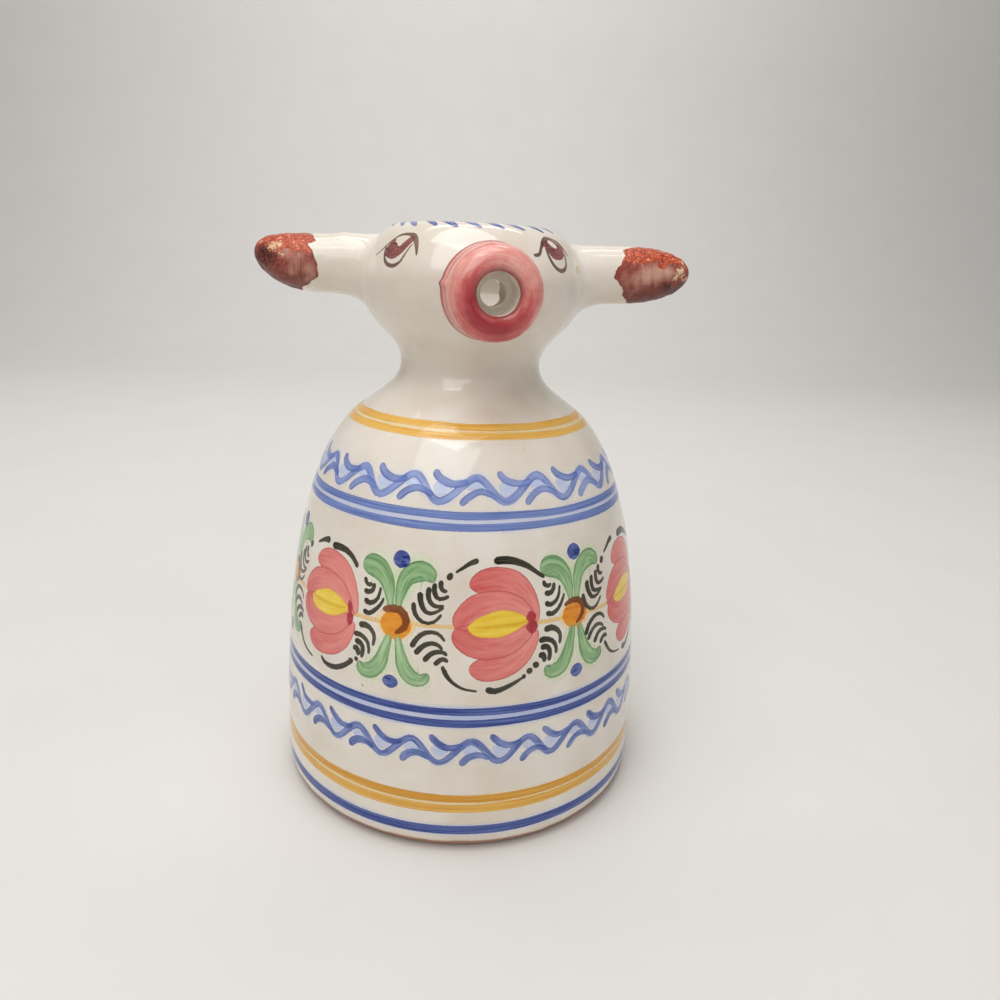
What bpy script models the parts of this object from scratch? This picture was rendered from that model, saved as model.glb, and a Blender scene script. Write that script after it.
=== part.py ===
"""Cream jug with a cow's head, in tin-glazed earthenware.

A thrown bell body and a thrown head bowl meet at the middle of the neck. A snout ring round the pour
hole, two horns and a strap handle are scribed to the pot and luted on with slip.
Metres, +Z up. The origin is the middle of the foot, and the face looks along -Y.
Left and right are the cow's own, so the left horn points along +X.
"""

import math

import bmesh
import bpy
from mathutils import Matrix, Vector
from mathutils.geometry import interpolate_bezier

MM = 0.001

# Bell body, from the foot to the middle of the neck
BODY_HEIGHT = 123.6 * MM
BELLY_RADIUS = 54.5 * MM
BELLY_PULL = 5.0 * MM           # upright stretch of the curve that starts above the foot
COLLAR_RADIUS = 32.4 * MM       # where the shoulder turns from bulging to hollow
COLLAR_BELOW_NECK = 13.6 * MM
COLLAR_LEAN = math.radians(50)  # slope of the wall there, from upright
SHOULDER_PULL = 31.6 * MM       # stretch of the curve below the collar
COLLAR_PULL = 7.6 * MM          # stretch of the curve above the collar
NECK_RADIUS = 19.9 * MM
NECK_PULL = 6.1 * MM            # upright stretch of the curve below the neck
FOOT_ROUND = 5.0 * MM           # radius of the rolled foot edge
FOOT_RING_WIDTH = 10.0 * MM     # flat ring that the jug stands on
FOOT_RECESS = 1.5 * MM          # depth of the dished middle inside the ring
RECESS_SLOPE = 3.0 * MM         # width of the slope down to the ring
FLOOR = 6.0 * MM                # height of the inside floor
INSIDE_CORNER = 9.0 * MM        # radius where the floor turns up into the wall
WALL = 4.2 * MM                 # thrown wall of body and head

# Head bowl, from the middle of the neck to the crest of the rim
HEAD_HEIGHT = 36.4 * MM
CHEEK_RADIUS = 31.0 * MM
CHEEK_ABOVE_NECK = 22.4 * MM
THROAT_PULL = 8.2 * MM          # upright stretch of the curve above the neck
JAW_PULL = 13.9 * MM            # upright stretch of the curve below the cheek
BROW_PULL = 7.2 * MM            # upright stretch of the curve above the cheek
RIM_RADIUS = 21.0 * MM          # crest of the rolled rim
RIM_PULL = 5.5 * MM             # level stretch of the curve that ends at the crest

# Snout ring and the pour hole behind it
SNOUT_RADIUS = 11.7 * MM
SNOUT_BORE_RADIUS = 5.4 * MM
SNOUT_PROUD = 8.0 * MM          # how far the ring stands in front of the cheek
SNOUT_ROUND = 5.5 * MM          # depth of the rounded front, out to the side
SNOUT_LIP = 1.8 * MM            # radius of the front edge of the bore
SNOUT_ABOVE_NECK = 19.95 * MM
SNOUT_TURN = math.radians(6.9)  # the ring was set on slightly to one side
POUR_HOLE_RADIUS = 3.3 * MM

# Horns
HORN_RADII = {"left_horn": 7.9 * MM, "right_horn": 8.3 * MM}
HORN_TURNS = {"left_horn": 0.0, "right_horn": math.pi}
HORN_REACHES = {"left_horn": 61.4 * MM, "right_horn": 59.5 * MM}  # axis of the jug to the tip
HORN_ABOVE_NECK = 23.5 * MM
HORN_TILT = math.radians(3.0)   # tips a little higher than the roots
HORN_FLARE = 2.0 * MM           # extra radius at the root, all on the underside
HORN_FLARE_LENGTH = 8.5 * MM
HORN_TAPER_PULL = 9.0 * MM
HORN_TIP_PULL = 6.0 * MM        # bluntness of the tip

# Strap handle
HANDLE_WIDTH = 13.0 * MM
HANDLE_THICKNESS = 7.0 * MM
HANDLE_ROOT_WIDTH = 17.0 * MM
HANDLE_ROOT_THICKNESS = 10.0 * MM
HANDLE_TOP_ABOVE_NECK = 24.0 * MM
HANDLE_FOOT_HEIGHT = 97.0 * MM  # where the lower end sits on the shoulder
HANDLE_TOP_PULL = 21.0 * MM
HANDLE_FOOT_PULL = 20.0 * MM
SLOPE_RISE = 5.0 * MM           # rise over which the shoulder's slope is read

# Slip joint between luted pieces
JOINT_GAP = 0.3 * MM

# Facets
TURNED_STEPS = 48
RING_STEPS = 32
HORN_STEPS = 24
HANDLE_STEPS = 18
HANDLE_SIDES = 18
SMOOTH_ANGLE = math.radians(35)
ROUND_PULL = 0.5523             # pull of a cubic curve that draws a quarter circle, per radius

CREST_HEIGHT = BODY_HEIGHT + HEAD_HEIGHT
CHEEK_HEIGHT = BODY_HEIGHT + CHEEK_ABOVE_NECK
UP = Vector((0, 0, 1))
OUT = Vector((1, 0, 0))


def clear_scene():
    for old in list(bpy.data.objects):
        bpy.data.objects.remove(old, do_unlink=True)


def curve(start, start_pull, end_pull, end, steps):
    """Points of one cubic curve, both ends included. The pulls are given from their own ends."""
    return interpolate_bezier(start, start + start_pull, end + end_pull, end, steps + 1)


def arc(centre, radius, first, last, steps):
    """Points of an arc in the XZ plane. Angles are in quarter turns from +X towards +Z."""
    points = []
    for step in range(steps + 1):
        angle = (first + (last - first) * step / steps) * math.pi / 2
        points.append(centre + Vector((radius * math.cos(angle), 0, radius * math.sin(angle))))
    return points


def body_outline():
    """Outside of the body from the foot edge up to the middle of the neck."""
    belly = Vector((BELLY_RADIUS, 0, FOOT_ROUND))
    collar = Vector((COLLAR_RADIUS, 0, BODY_HEIGHT - COLLAR_BELOW_NECK))
    neck = Vector((NECK_RADIUS, 0, BODY_HEIGHT))
    lean = Vector((-math.sin(COLLAR_LEAN), 0, math.cos(COLLAR_LEAN)))
    foot = arc(belly - OUT * FOOT_ROUND, FOOT_ROUND, -1, 0, 4)
    shoulder = curve(belly, UP * BELLY_PULL, -lean * SHOULDER_PULL, collar, 13)
    throat = curve(collar, lean * COLLAR_PULL, -UP * NECK_PULL, neck, 7)
    return foot + shoulder[1:] + throat[1:]


def head_outline():
    """Outside of the head from the middle of the neck up to the crest of the rim."""
    neck = Vector((NECK_RADIUS, 0, BODY_HEIGHT))
    cheek = Vector((CHEEK_RADIUS, 0, CHEEK_HEIGHT))
    crest = Vector((RIM_RADIUS, 0, CREST_HEIGHT))
    jaw = curve(neck, UP * THROAT_PULL, -UP * JAW_PULL, cheek, 10)
    brow = curve(cheek, UP * BROW_PULL, OUT * RIM_PULL, crest, 8)
    return jaw + brow[1:]


def offset(outline, distance):
    """The outline moved square to itself, away from the axis where the distance is positive."""
    moved = []
    for index, point in enumerate(outline):
        before = outline[max(index - 1, 0)]
        after = outline[min(index + 1, len(outline) - 1)]
        along = (after - before).normalized()
        moved.append(point + Vector((along.z, 0, -along.x)) * distance)
    return moved


def radius_at(outline, height):
    """Radius of an outline that rises from point to point, at one height."""
    for low, high in zip(outline, outline[1:]):
        if low.z <= height <= high.z:
            share = (height - low.z) / (high.z - low.z)
            return low.x + (high.x - low.x) * share
    return outline[-1].x


def glaze(name, colour, roughness):
    material = bpy.data.materials.new(name)
    material.use_nodes = True
    shader = material.node_tree.nodes["Principled BSDF"]
    shader.inputs["Base Color"].default_value = (*colour, 1)
    shader.inputs["Roughness"].default_value = roughness
    shader.inputs["Metallic"].default_value = 0.0
    return material


def finish(bm, name, material=None):
    """Turns a bmesh into a named, smooth-shaded object. With no material it is a hidden cutter."""
    bmesh.ops.remove_doubles(bm, verts=bm.verts, dist=0.002 * MM)
    bmesh.ops.recalc_face_normals(bm, faces=bm.faces)
    mesh = bpy.data.meshes.new(name)
    bm.to_mesh(mesh)
    bm.free()
    mesh.shade_smooth()
    mesh.set_sharp_from_angle(angle=SMOOTH_ANGLE)
    piece = bpy.data.objects.new(name, mesh)
    bpy.context.scene.collection.objects.link(piece)
    if material:
        mesh.materials.append(material)
    else:
        piece.hide_render = True
        piece.display_type = "WIRE"
    return piece


def turn(outline, closed, axis, steps):
    """A bmesh of the outline spun once round an axis through the origin."""
    bm = bmesh.new()
    verts = [bm.verts.new(point) for point in outline]
    for first, second in zip(verts, verts[1:]):
        bm.edges.new((first, second))
    if closed:
        bm.edges.new((verts[-1], verts[0]))
    bmesh.ops.spin(bm, geom=bm.verts[:] + bm.edges[:], cent=(0, 0, 0), axis=axis,
                   angle=2 * math.pi, steps=steps, use_merge=True)
    return bm


def cut(piece, cutter):
    modifier = piece.modifiers.new("scribed to " + cutter.name, "BOOLEAN")
    modifier.operation = "DIFFERENCE"
    modifier.solver = "EXACT"
    modifier.object = cutter


def add_body_shell(material):
    """Bell with a dished foot, a flat floor and an even wall, open at the neck."""
    outside = body_outline()
    neck_top = BODY_HEIGHT - JOINT_GAP / 2
    outside[-1].z = neck_top
    corner_top = FLOOR + INSIDE_CORNER
    inside = [point for point in offset(outside, -WALL) if point.z > corner_top]
    inside[-1].z = neck_top
    corner = arc(Vector((inside[0].x - INSIDE_CORNER, 0, corner_top)), INSIDE_CORNER, -1, 0, 4)
    ring_inside = BELLY_RADIUS - FOOT_ROUND - FOOT_RING_WIDTH
    under = [Vector((0, 0, FOOT_RECESS)),
             Vector((ring_inside - RECESS_SLOPE, 0, FOOT_RECESS)),
             Vector((ring_inside, 0, 0))]
    floor_middle = [Vector((0, 0, FLOOR))]
    outline = under + outside + inside[::-1] + corner[::-1] + floor_middle
    return finish(turn(outline, False, UP, TURNED_STEPS), "body_shell", material)


def add_head_bowl(material, pour_hole):
    """Open bowl with a rolled rim, and the pour hole punched through its front."""
    outside = head_outline()
    neck_foot = BODY_HEIGHT + JOINT_GAP / 2
    outside[0].z = neck_foot
    inside = offset(outside, -WALL)
    inside[0].z = neck_foot
    lip_centre = Vector((RIM_RADIUS, 0, CREST_HEIGHT - WALL / 2))
    lip = arc(lip_centre, WALL / 2, 1, 3, 6)
    outline = outside + lip[1:-1] + inside[::-1]
    head = finish(turn(outline, True, UP, TURNED_STEPS), "head_bowl", material)
    cut(head, pour_hole)
    return head


def add_pot_envelope():
    """Cutter: the outside of the whole pot plus the slip joint, filled and carried up over the mouth."""
    outside = body_outline() + head_outline()[1:]
    clear = offset(outside, JOINT_GAP)
    chimney = [Vector((RIM_RADIUS, 0, CREST_HEIGHT + CHEEK_RADIUS)), Vector((0, 0, CREST_HEIGHT + CHEEK_RADIUS))]
    outline = [Vector((0, 0, -JOINT_GAP))] + clear + chimney
    return finish(turn(outline, False, UP, TURNED_STEPS), "pot_envelope")


def face_forward(piece):
    """Lays a piece that was turned round Z along the snout's axis."""
    piece.location = (0, 0, BODY_HEIGHT + SNOUT_ABOVE_NECK)
    piece.rotation_euler = (math.pi / 2, 0, SNOUT_TURN)


def add_pour_hole():
    """Cutter: a round punch from the middle of the head out through its front wall."""
    length = CHEEK_RADIUS + SNOUT_PROUD
    bm = bmesh.new()
    bmesh.ops.create_cone(bm, cap_ends=True, segments=HORN_STEPS, radius1=POUR_HOLE_RADIUS,
                          radius2=POUR_HOLE_RADIUS, depth=length, matrix=Matrix.Translation(UP * length / 2))
    punch = finish(bm, "pour_hole")
    face_forward(punch)
    return punch


def add_snout_ring(material, envelope):
    """Thick ring with a rounded front and a straight bore, its back scribed to the head."""
    front = CHEEK_RADIUS + SNOUT_PROUD
    lip_edge = SNOUT_BORE_RADIUS + SNOUT_LIP
    lip = arc(Vector((lip_edge, 0, front - SNOUT_LIP)), SNOUT_LIP, 2, 1, 4)
    side = Vector((SNOUT_RADIUS, 0, front - SNOUT_ROUND))
    level = OUT * (SNOUT_RADIUS - lip_edge) * ROUND_PULL
    dome = curve(lip[-1], level, UP * SNOUT_ROUND * ROUND_PULL, side, 7)
    bore_back = Vector((SNOUT_BORE_RADIUS, 0, NECK_RADIUS))
    side_back = Vector((SNOUT_RADIUS, 0, NECK_RADIUS))
    outline = [bore_back] + lip + dome[1:] + [side_back]
    ring = finish(turn(outline, True, UP, RING_STEPS), "snout_ring", material)
    face_forward(ring)
    cut(ring, envelope)
    return ring


def add_horn(name, material, envelope):
    """Blunt horn along +X, its top line straight and its underside flowing into the head."""
    radius = HORN_RADII[name]
    root = Vector((CHEEK_RADIUS, 0, radius + HORN_FLARE))
    shaft = Vector((CHEEK_RADIUS + HORN_FLARE_LENGTH, 0, radius))
    tip = Vector((HORN_REACHES[name], 0, 0))
    buried = RIM_RADIUS - WALL
    flare_pull = Vector((HORN_FLARE_LENGTH / 4, 0, -HORN_FLARE / 2))
    flare = curve(root, flare_pull, -OUT * HORN_FLARE_LENGTH / 2, shaft, 4)
    taper = curve(shaft, OUT * HORN_TAPER_PULL, UP * HORN_TIP_PULL, tip, 9)
    outline = [Vector((buried, 0, 0)), Vector((buried, 0, root.z))] + flare + taper[1:]
    bm = turn(outline, False, OUT, HORN_STEPS)
    for vert in bm.verts:
        ring_radius = math.hypot(vert.co.y, vert.co.z)
        vert.co.z -= max(0.0, ring_radius - radius)
    horn = finish(bm, name, material)
    horn.location = (0, 0, BODY_HEIGHT + HORN_ABOVE_NECK)
    horn.rotation_euler = (0, -HORN_TILT, HORN_TURNS[name])
    cut(horn, envelope)
    return horn


def add_handle(material, envelope):
    """Oval strap swept from the back of the head to the shoulder, swelling at both ends."""
    outside = body_outline()
    foot_radius = radius_at(outside, HANDLE_FOOT_HEIGHT)
    slope = (radius_at(outside, HANDLE_FOOT_HEIGHT + SLOPE_RISE) - foot_radius) / SLOPE_RISE
    square = Vector((0, 1, -slope)).normalized()
    head_back = Vector((0, CHEEK_RADIUS - WALL, BODY_HEIGHT + HANDLE_TOP_ABOVE_NECK))
    shoulder = Vector((0, foot_radius, HANDLE_FOOT_HEIGHT)) - square * WALL
    back = Vector((0, 1, 0))
    path = curve(head_back, back * (HANDLE_TOP_PULL + WALL), square * (HANDLE_FOOT_PULL + WALL),
                 shoulder, HANDLE_STEPS)
    bm = bmesh.new()
    rings = []
    for index, point in enumerate(path):
        along = (path[min(index + 1, HANDLE_STEPS)] - path[max(index - 1, 0)]).normalized()
        across = along.cross(OUT)
        swell = math.cos(math.pi * index / HANDLE_STEPS) ** 6
        half_width = (HANDLE_WIDTH + (HANDLE_ROOT_WIDTH - HANDLE_WIDTH) * swell) / 2
        half_depth = (HANDLE_THICKNESS + (HANDLE_ROOT_THICKNESS - HANDLE_THICKNESS) * swell) / 2
        place = Matrix((OUT * half_width, across * half_depth, along)).transposed().to_4x4()
        place.translation = point
        end = index in (0, HANDLE_STEPS)
        made = bmesh.ops.create_circle(bm, cap_ends=end, segments=HANDLE_SIDES, radius=1, matrix=place)
        loop = made["verts"]
        rings.append([edge for edge in bm.edges if edge.verts[0] in loop and edge.verts[1] in loop])
    for first, second in zip(rings, rings[1:]):
        bmesh.ops.bridge_loops(bm, edges=first + second)
    handle = finish(bm, "handle", material)
    cut(handle, envelope)
    return handle


def main():
    clear_scene()
    envelope = add_pot_envelope()
    pour_hole = add_pour_hole()
    pieces = [
        add_body_shell(glaze("white tin glaze, body", (0.80, 0.76, 0.68), 0.15)),
        add_head_bowl(glaze("white tin glaze, head", (0.80, 0.76, 0.68), 0.15), pour_hole),
        add_snout_ring(glaze("rose painted glaze", (0.66, 0.20, 0.22), 0.18), envelope),
        add_horn("left_horn", glaze("red-brown painted glaze, left", (0.45, 0.08, 0.05), 0.3), envelope),
        add_horn("right_horn", glaze("red-brown painted glaze, right", (0.45, 0.08, 0.05), 0.3), envelope),
        add_handle(glaze("white tin glaze, handle", (0.80, 0.76, 0.68), 0.15), envelope),
    ]
    jug = bpy.data.objects.new("cream_jug", None)
    bpy.context.scene.collection.objects.link(jug)
    for piece in pieces:
        piece.parent = jug


main()
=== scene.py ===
import bisect
import math
import random
from functools import partial

import bmesh
import bpy
from mathutils import Matrix, Vector, noise
from mathutils.geometry import interpolate_bezier


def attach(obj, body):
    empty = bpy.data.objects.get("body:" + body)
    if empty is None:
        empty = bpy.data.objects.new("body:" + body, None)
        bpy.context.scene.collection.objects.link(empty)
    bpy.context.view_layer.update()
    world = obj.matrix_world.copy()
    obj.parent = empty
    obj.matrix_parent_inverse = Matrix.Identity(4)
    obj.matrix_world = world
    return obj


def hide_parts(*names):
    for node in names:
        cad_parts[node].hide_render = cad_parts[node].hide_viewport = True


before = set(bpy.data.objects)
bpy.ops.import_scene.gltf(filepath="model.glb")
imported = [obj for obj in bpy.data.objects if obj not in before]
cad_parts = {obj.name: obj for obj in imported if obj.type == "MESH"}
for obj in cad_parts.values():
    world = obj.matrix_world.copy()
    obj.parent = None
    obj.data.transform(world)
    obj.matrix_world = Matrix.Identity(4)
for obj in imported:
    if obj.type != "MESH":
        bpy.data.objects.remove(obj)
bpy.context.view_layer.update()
scene = bpy.context.scene
mm = 0.001
out, back, up = Vector((1, 0, 0)), Vector((0, 1, 0)), Vector((0, 0, 1))
fullTurn = 2 * math.pi
faceOff = 2.4  # degrees: pattern angles were read from the camera's side of the jug


def hexColour(text):
    rgb = [int(text[i:i + 2], 16) / 255 for i in (1, 3, 5)]
    return (*[c / 12.92 if c <= 0.04045 else ((c + 0.055) / 1.055) ** 2.4 for c in rgb], 1)


def addNode(tree, kind, links, want=0, **settings):  # returns the wanted output
    made = tree.nodes.new("ShaderNode" + kind)
    for name, value in settings.items():
        setattr(made, name, value)
    for name, value in links.items():
        if isinstance(value, bpy.types.NodeSocket):
            tree.links.new(value, made.inputs[name])
        else:
            made.inputs[name].default_value = hexColour(value) if isinstance(value, str) else value
    return made.outputs[want]


def newMaterial(name, roughness, shine=0.5, ior=1.5):
    material = bpy.data.materials.new(name)
    material.use_nodes = True
    shader = material.node_tree.nodes["Principled BSDF"]
    for socket, value in (("Roughness", roughness), ("Specular IOR Level", shine), ("IOR", ior)):
        shader.inputs[socket].default_value = value
    return material, partial(addNode, material.node_tree)


def laid(add, below, colour, value, low, high, most=1.0):  # a colour over another, from low to high
    share = add("MapRange", {"Value": value, "From Min": low, "From Max": high, "To Max": most})
    return add("Mix", {0: share, 6: below, 7: colour}, 2, data_type="RGBA")


def joined(material, sockets):  # links what was mixed to the shader
    tree = material.node_tree
    for name, socket in sockets.items():
        tree.links.new(socket, tree.nodes["Principled BSDF"].inputs[name])
    return material


# the pot's outline, in millimetres: (radius, height) pairs and the pull of each curve at its ends
pot = {
    "belly": (54.5, 5.0), "bellyPull": 5.0,
    "collar": (32.4, 110.0), "collarLean": 50.0, "shoulderPull": 31.6, "collarPull": 7.6,
    "neck": (19.9, 123.6), "neckPull": 6.1, "throatPull": 8.2,
    "cheek": (31.0, 146.0), "jawPull": 13.9, "browPull": 5.6,
    "crest": (21.0, 160.0), "crestPull": 3.6,
    "wall": 4.2, "floor": 6.0, "insideCorner": 9.0, "footRound": 5.0,
    "footRing": 39.5, "footRecess": 1.5, "recessSlope": 3.0, "ringBevel": (1.2, 0.35), "ringFlat": 5.0,
    "wobble": 0.10, "drift": 0.6, "driftMm": 19.0, "ringing": 0.35, "ringingMm": 3.7,
    "footSteps": 10, "shoulderSteps": 70, "throatSteps": 26, "jawSteps": 34, "browSteps": 24, "lipSteps": 14,
    "insideEvery": 3, "cornerSteps": 8, "segments": 192,
}


def bent(start, startPull, endPull, end, steps):
    return interpolate_bezier(start, start + startPull, end + endPull, end, steps + 1)


def arc(centre, radius, first, last, steps):
    turns = [math.radians(first + (last - first) * i / steps) for i in range(steps + 1)]
    return [centre + Vector((radius * math.cos(t), 0, radius * math.sin(t))) for t in turns]


def reachAlong(points):  # distance from the first point to each one, along the line
    reach = [0.0]
    for before, after in zip(points, points[1:]):
        reach.append(reach[-1] + (after - before).length)
    return reach


def findIn(steps, value):  # which step holds the value, and how far along that step it is
    i = min(max(bisect.bisect_right(steps, value) - 1, 0), len(steps) - 2)
    return i, (value - steps[i]) / max(steps[i + 1] - steps[i], 1e-6)


def potOutside():
    belly, collar, neck, cheek, crest = (Vector((pot[k][0], 0, pot[k][1]))
                                         for k in ("belly", "collar", "neck", "cheek", "crest"))
    tilt = math.radians(pot["collarLean"])
    lean = Vector((-math.sin(tilt), 0, math.cos(tilt)))
    foot = arc(belly - out * pot["footRound"], pot["footRound"], -90, 0, pot["footSteps"])
    shoulder = bent(belly, up * pot["bellyPull"], -lean * pot["shoulderPull"], collar, pot["shoulderSteps"])
    throat = bent(collar, lean * pot["collarPull"], -up * pot["neckPull"], neck, pot["throatSteps"])
    jaw = bent(neck, up * pot["throatPull"], -up * pot["jawPull"], cheek, pot["jawSteps"])
    brow = bent(cheek, up * pot["browPull"], out * pot["crestPull"], crest, pot["browSteps"])
    return foot + shoulder[1:] + throat[1:] + jaw[1:] + brow[1:]


def potInside(outside):
    moved = []
    for i in range(len(outside) - 1, 0, -pot["insideEvery"]):
        along = (outside[min(i + 1, len(outside) - 1)] - outside[i - 1]).normalized()
        moved.append(outside[i] - Vector((along.z, 0, -along.x)) * pot["wall"])
    corner = pot["insideCorner"]
    wall = [p for p in moved if p.z > pot["floor"] + corner]
    middle = Vector((wall[-1].x - corner, 0, pot["floor"] + corner))
    return wall + arc(middle, corner, 0, -90, pot["cornerSteps"])


outside = potOutside()
lip = arc(outside[-1] - up * pot["wall"] / 2, pot["wall"] / 2, 90, 270, pot["lipSteps"])
inside = potInside(outside)
wallLine = outside + lip[1:]  # what a brush can reach: foot, wall, rim and a little way in
wallReach = reachAlong(wallLine)
outsideReach = wallReach[:len(outside)]
heights = [p.z for p in outside]


def reachAt(height):
    i, share = findIn(heights, height)
    return wallReach[i] + (wallReach[i + 1] - wallReach[i]) * min(max(share, 0), 1)


def thrown(angle, height):  # how far the hand-thrown wall strays from true
    slow = math.sin(2 * angle + 0.7) * height / pot["crest"][1]
    drift = pot["drift"] * math.sin(3 * angle + height / pot["driftMm"])
    return pot["wobble"] * (slow + drift + pot["ringing"] * math.sin(height / pot["ringingMm"]))


def potRadius(height, angle=0.0):
    i, share = findIn(outsideReach, reachAt(height))
    return outside[i].x + (outside[i + 1].x - outside[i].x) * share + thrown(angle, height)


def potPoint(angle, reach, lift):  # angle in radians from the face towards +X, reach along the wall in mm
    i, share = findIn(wallReach, reach)
    spot = wallLine[i].lerp(wallLine[i + 1], share)
    slopes = []
    for k in (i, i + 1):
        slopes.append((wallLine[min(k + 1, len(wallLine) - 1)] - wallLine[max(k - 1, 0)]).normalized())
    along = slopes[0].lerp(slopes[1], share).normalized()
    radius = spot.x + along.z * lift + thrown(angle, spot.z)
    return Vector((radius * math.sin(angle), -radius * math.cos(angle), spot.z - along.x * lift))


def gapTo(spot):  # how far a point is from the pot's wall, level
    return math.hypot(spot.x, spot.y) - potRadius(spot.z, math.atan2(spot.x, -spot.y))


def outwardAt(spot):  # square to the pot's wall, as steep as the wall is there
    flat, angle, near = math.hypot(spot.x, spot.y), math.atan2(spot.x, -spot.y), 0.2
    slope = (potRadius(spot.z + near, angle) - potRadius(spot.z - near, angle)) / (2 * near)
    return Vector((spot.x / flat, spot.y / flat, -slope))


def settle(point):  # the nearest place on the outside of the pot
    tries, belowCrest = 6, 0.3
    spot = point.copy()
    for turn in range(tries):
        spot.z = min(spot.z, heights[-1] - belowCrest)
        square = outwardAt(spot)
        spot -= square * gapTo(spot) / square.length_squared
    return spot


def distanceIn(point, inward):  # from a point outside the pot to its wall, along a line
    near, far, halvings = 0.0, 40.0, 40
    for turn in range(halvings):
        middle = (near + far) / 2
        if gapTo(point + inward * middle) > 0:
            near = middle
        else:
            far = middle
    return near


def luted(edge, inward, outward, spread, share):  # a smoothed slip joint: share 0 on the clay, 1 on the pot
    hold, sink = 0.75, 0.03  # how long the curve keeps to either side, and how deep its rim lies
    heel = edge + inward * distanceIn(edge, inward)
    toe = settle(heel + outward * spread)
    square = outwardAt(toe).normalized()
    run = toe - heel
    bend = toe - (run - square * run.dot(square)) * hold
    first, last = 1 - share, share
    return (edge * first ** 3 + edge.lerp(heel, hold) * 3 * first ** 2 * last
            + bend * 3 * first * last ** 2 + (toe - square * sink) * last ** 3)


def threaded(bm, points):  # vertices on a line, each joined to the next
    verts = [bm.verts.new(p) for p in points]
    for before, after in zip(verts, verts[1:]):
        bm.edges.new((before, after))


def turned(bm, points, segments):  # a line of points spun round the pot's axis
    threaded(bm, points)
    bmesh.ops.spin(bm, geom=bm.verts[:] + bm.edges[:], cent=(0, 0, 0), axis=up, angle=fullTurn,
                   steps=segments, use_merge=True)


def blankTube(stations, segments):
    bm = bmesh.new()
    turned(bm, [(1, 0, k) for k in range(stations)], segments)
    return bm


def newObject(bm, name, material):
    mesh = bpy.data.meshes.new(name)
    bm.to_mesh(mesh)
    bm.free()
    mesh.shade_smooth()
    mesh.materials.append(material)
    made = bpy.data.objects.new(name, mesh)
    scene.collection.objects.link(made)
    return made


def addPiece(bm, name, material, replaced=()):
    weld = 0.0005
    bmesh.ops.remove_doubles(bm, verts=bm.verts, dist=weld)
    bmesh.ops.recalc_face_normals(bm, faces=bm.faces)
    bmesh.ops.scale(bm, vec=(mm, mm, mm), verts=bm.verts)
    piece = newObject(bm, name, material)
    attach(piece, "root")
    if replaced:
        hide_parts(*replaced)
    print("piece", name, len(piece.data.polygons), "faces")
    return piece


# white tin glaze: opaque, thick and glossy, poured over the biscuit. It clouds where it is thinner,
# carries a few iron specks, and the throwing rings still show faintly in its shine
tinGlaze = {
    "thick": "#ECE4D8", "thin": "#E0D4C4", "cloudMm": 16.0, "speck": "#A8907A", "speckMm": 2.2,
    "ringMm": 2.6, "ringSway": 60, "ripplesMm": 7.0,
    "clay": "#B98C74", "clayDark": "#9C705A", "clayLine": 4.3, "clayStray": 2.2, "clayStrayMm": 9.0,
    "grogMm": 0.7,
}


def glazeCoat(add):  # colour, roughness and normal of the white glaze, for every material that shows some
    look = tinGlaze
    place = add("TexCoord", {}, "Object")
    cloud = add("TexNoise", {"Vector": place, "Scale": 1000 / look["cloudMm"], "Detail": 3})
    white = laid(add, look["thick"], look["thin"], cloud, 0.35, 0.7)
    grain = add("TexNoise", {"Vector": place, "Scale": 1000 / look["speckMm"], "Detail": 1})
    colour = laid(add, white, look["speck"], grain, 0.80, 0.86, 0.5)
    sway = look["ringSway"]
    rings = add("Mapping", {"Vector": place, "Scale": (sway, sway, 1000 / look["ringMm"])})
    throwing = add("TexNoise", {"Vector": rings, "Scale": 1, "Detail": 1})
    ripple = add("TexNoise", {"Vector": place, "Scale": 1000 / look["ripplesMm"], "Detail": 2})
    relief = add("Math", {0: throwing, 1: ripple}, operation="ADD")
    bump = add("Bump", {"Height": relief, "Strength": 0.35, "Distance": 0.00006})
    gloss = add("MapRange", {"Value": cloud, "From Min": 0.3, "From Max": 0.7, "To Min": 0.05, "To Max": 0.1})
    return place, colour, gloss, bump


def potMaterial():  # the glaze stops short of the foot, where the porous pinkish clay is bare
    material, add = newMaterial("white tin glaze on earthenware", 0.15)
    look = tinGlaze
    place, colour, gloss, bump = glazeCoat(add)
    height = add("SeparateXYZ", {0: place}, "Z")
    edge = add("TexNoise", {"Vector": place, "Scale": 1000 / look["clayStrayMm"], "Detail": 3})
    stray = add("Math", {0: edge, 1: look["clayStray"] * mm, 2: height}, operation="MULTIPLY_ADD")
    line = look["clayLine"] * mm
    glazed = add("MapRange", {"Value": stray, "From Min": line - 0.2 * mm, "From Max": line + 0.3 * mm})
    grog = add("TexNoise", {"Vector": place, "Scale": 1000 / look["grogMm"], "Detail": 4})
    clay = add("Mix", {0: grog, 6: look["clay"], 7: look["clayDark"]}, 2, data_type="RGBA")
    skin = add("Mix", {0: glazed, 6: clay, 7: colour}, 2, data_type="RGBA")
    shine = add("Mix", {0: glazed, 2: 0.8, 3: gloss})
    return joined(material, {"Base Color": skin, "Roughness": shine, "Normal": bump})


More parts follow.
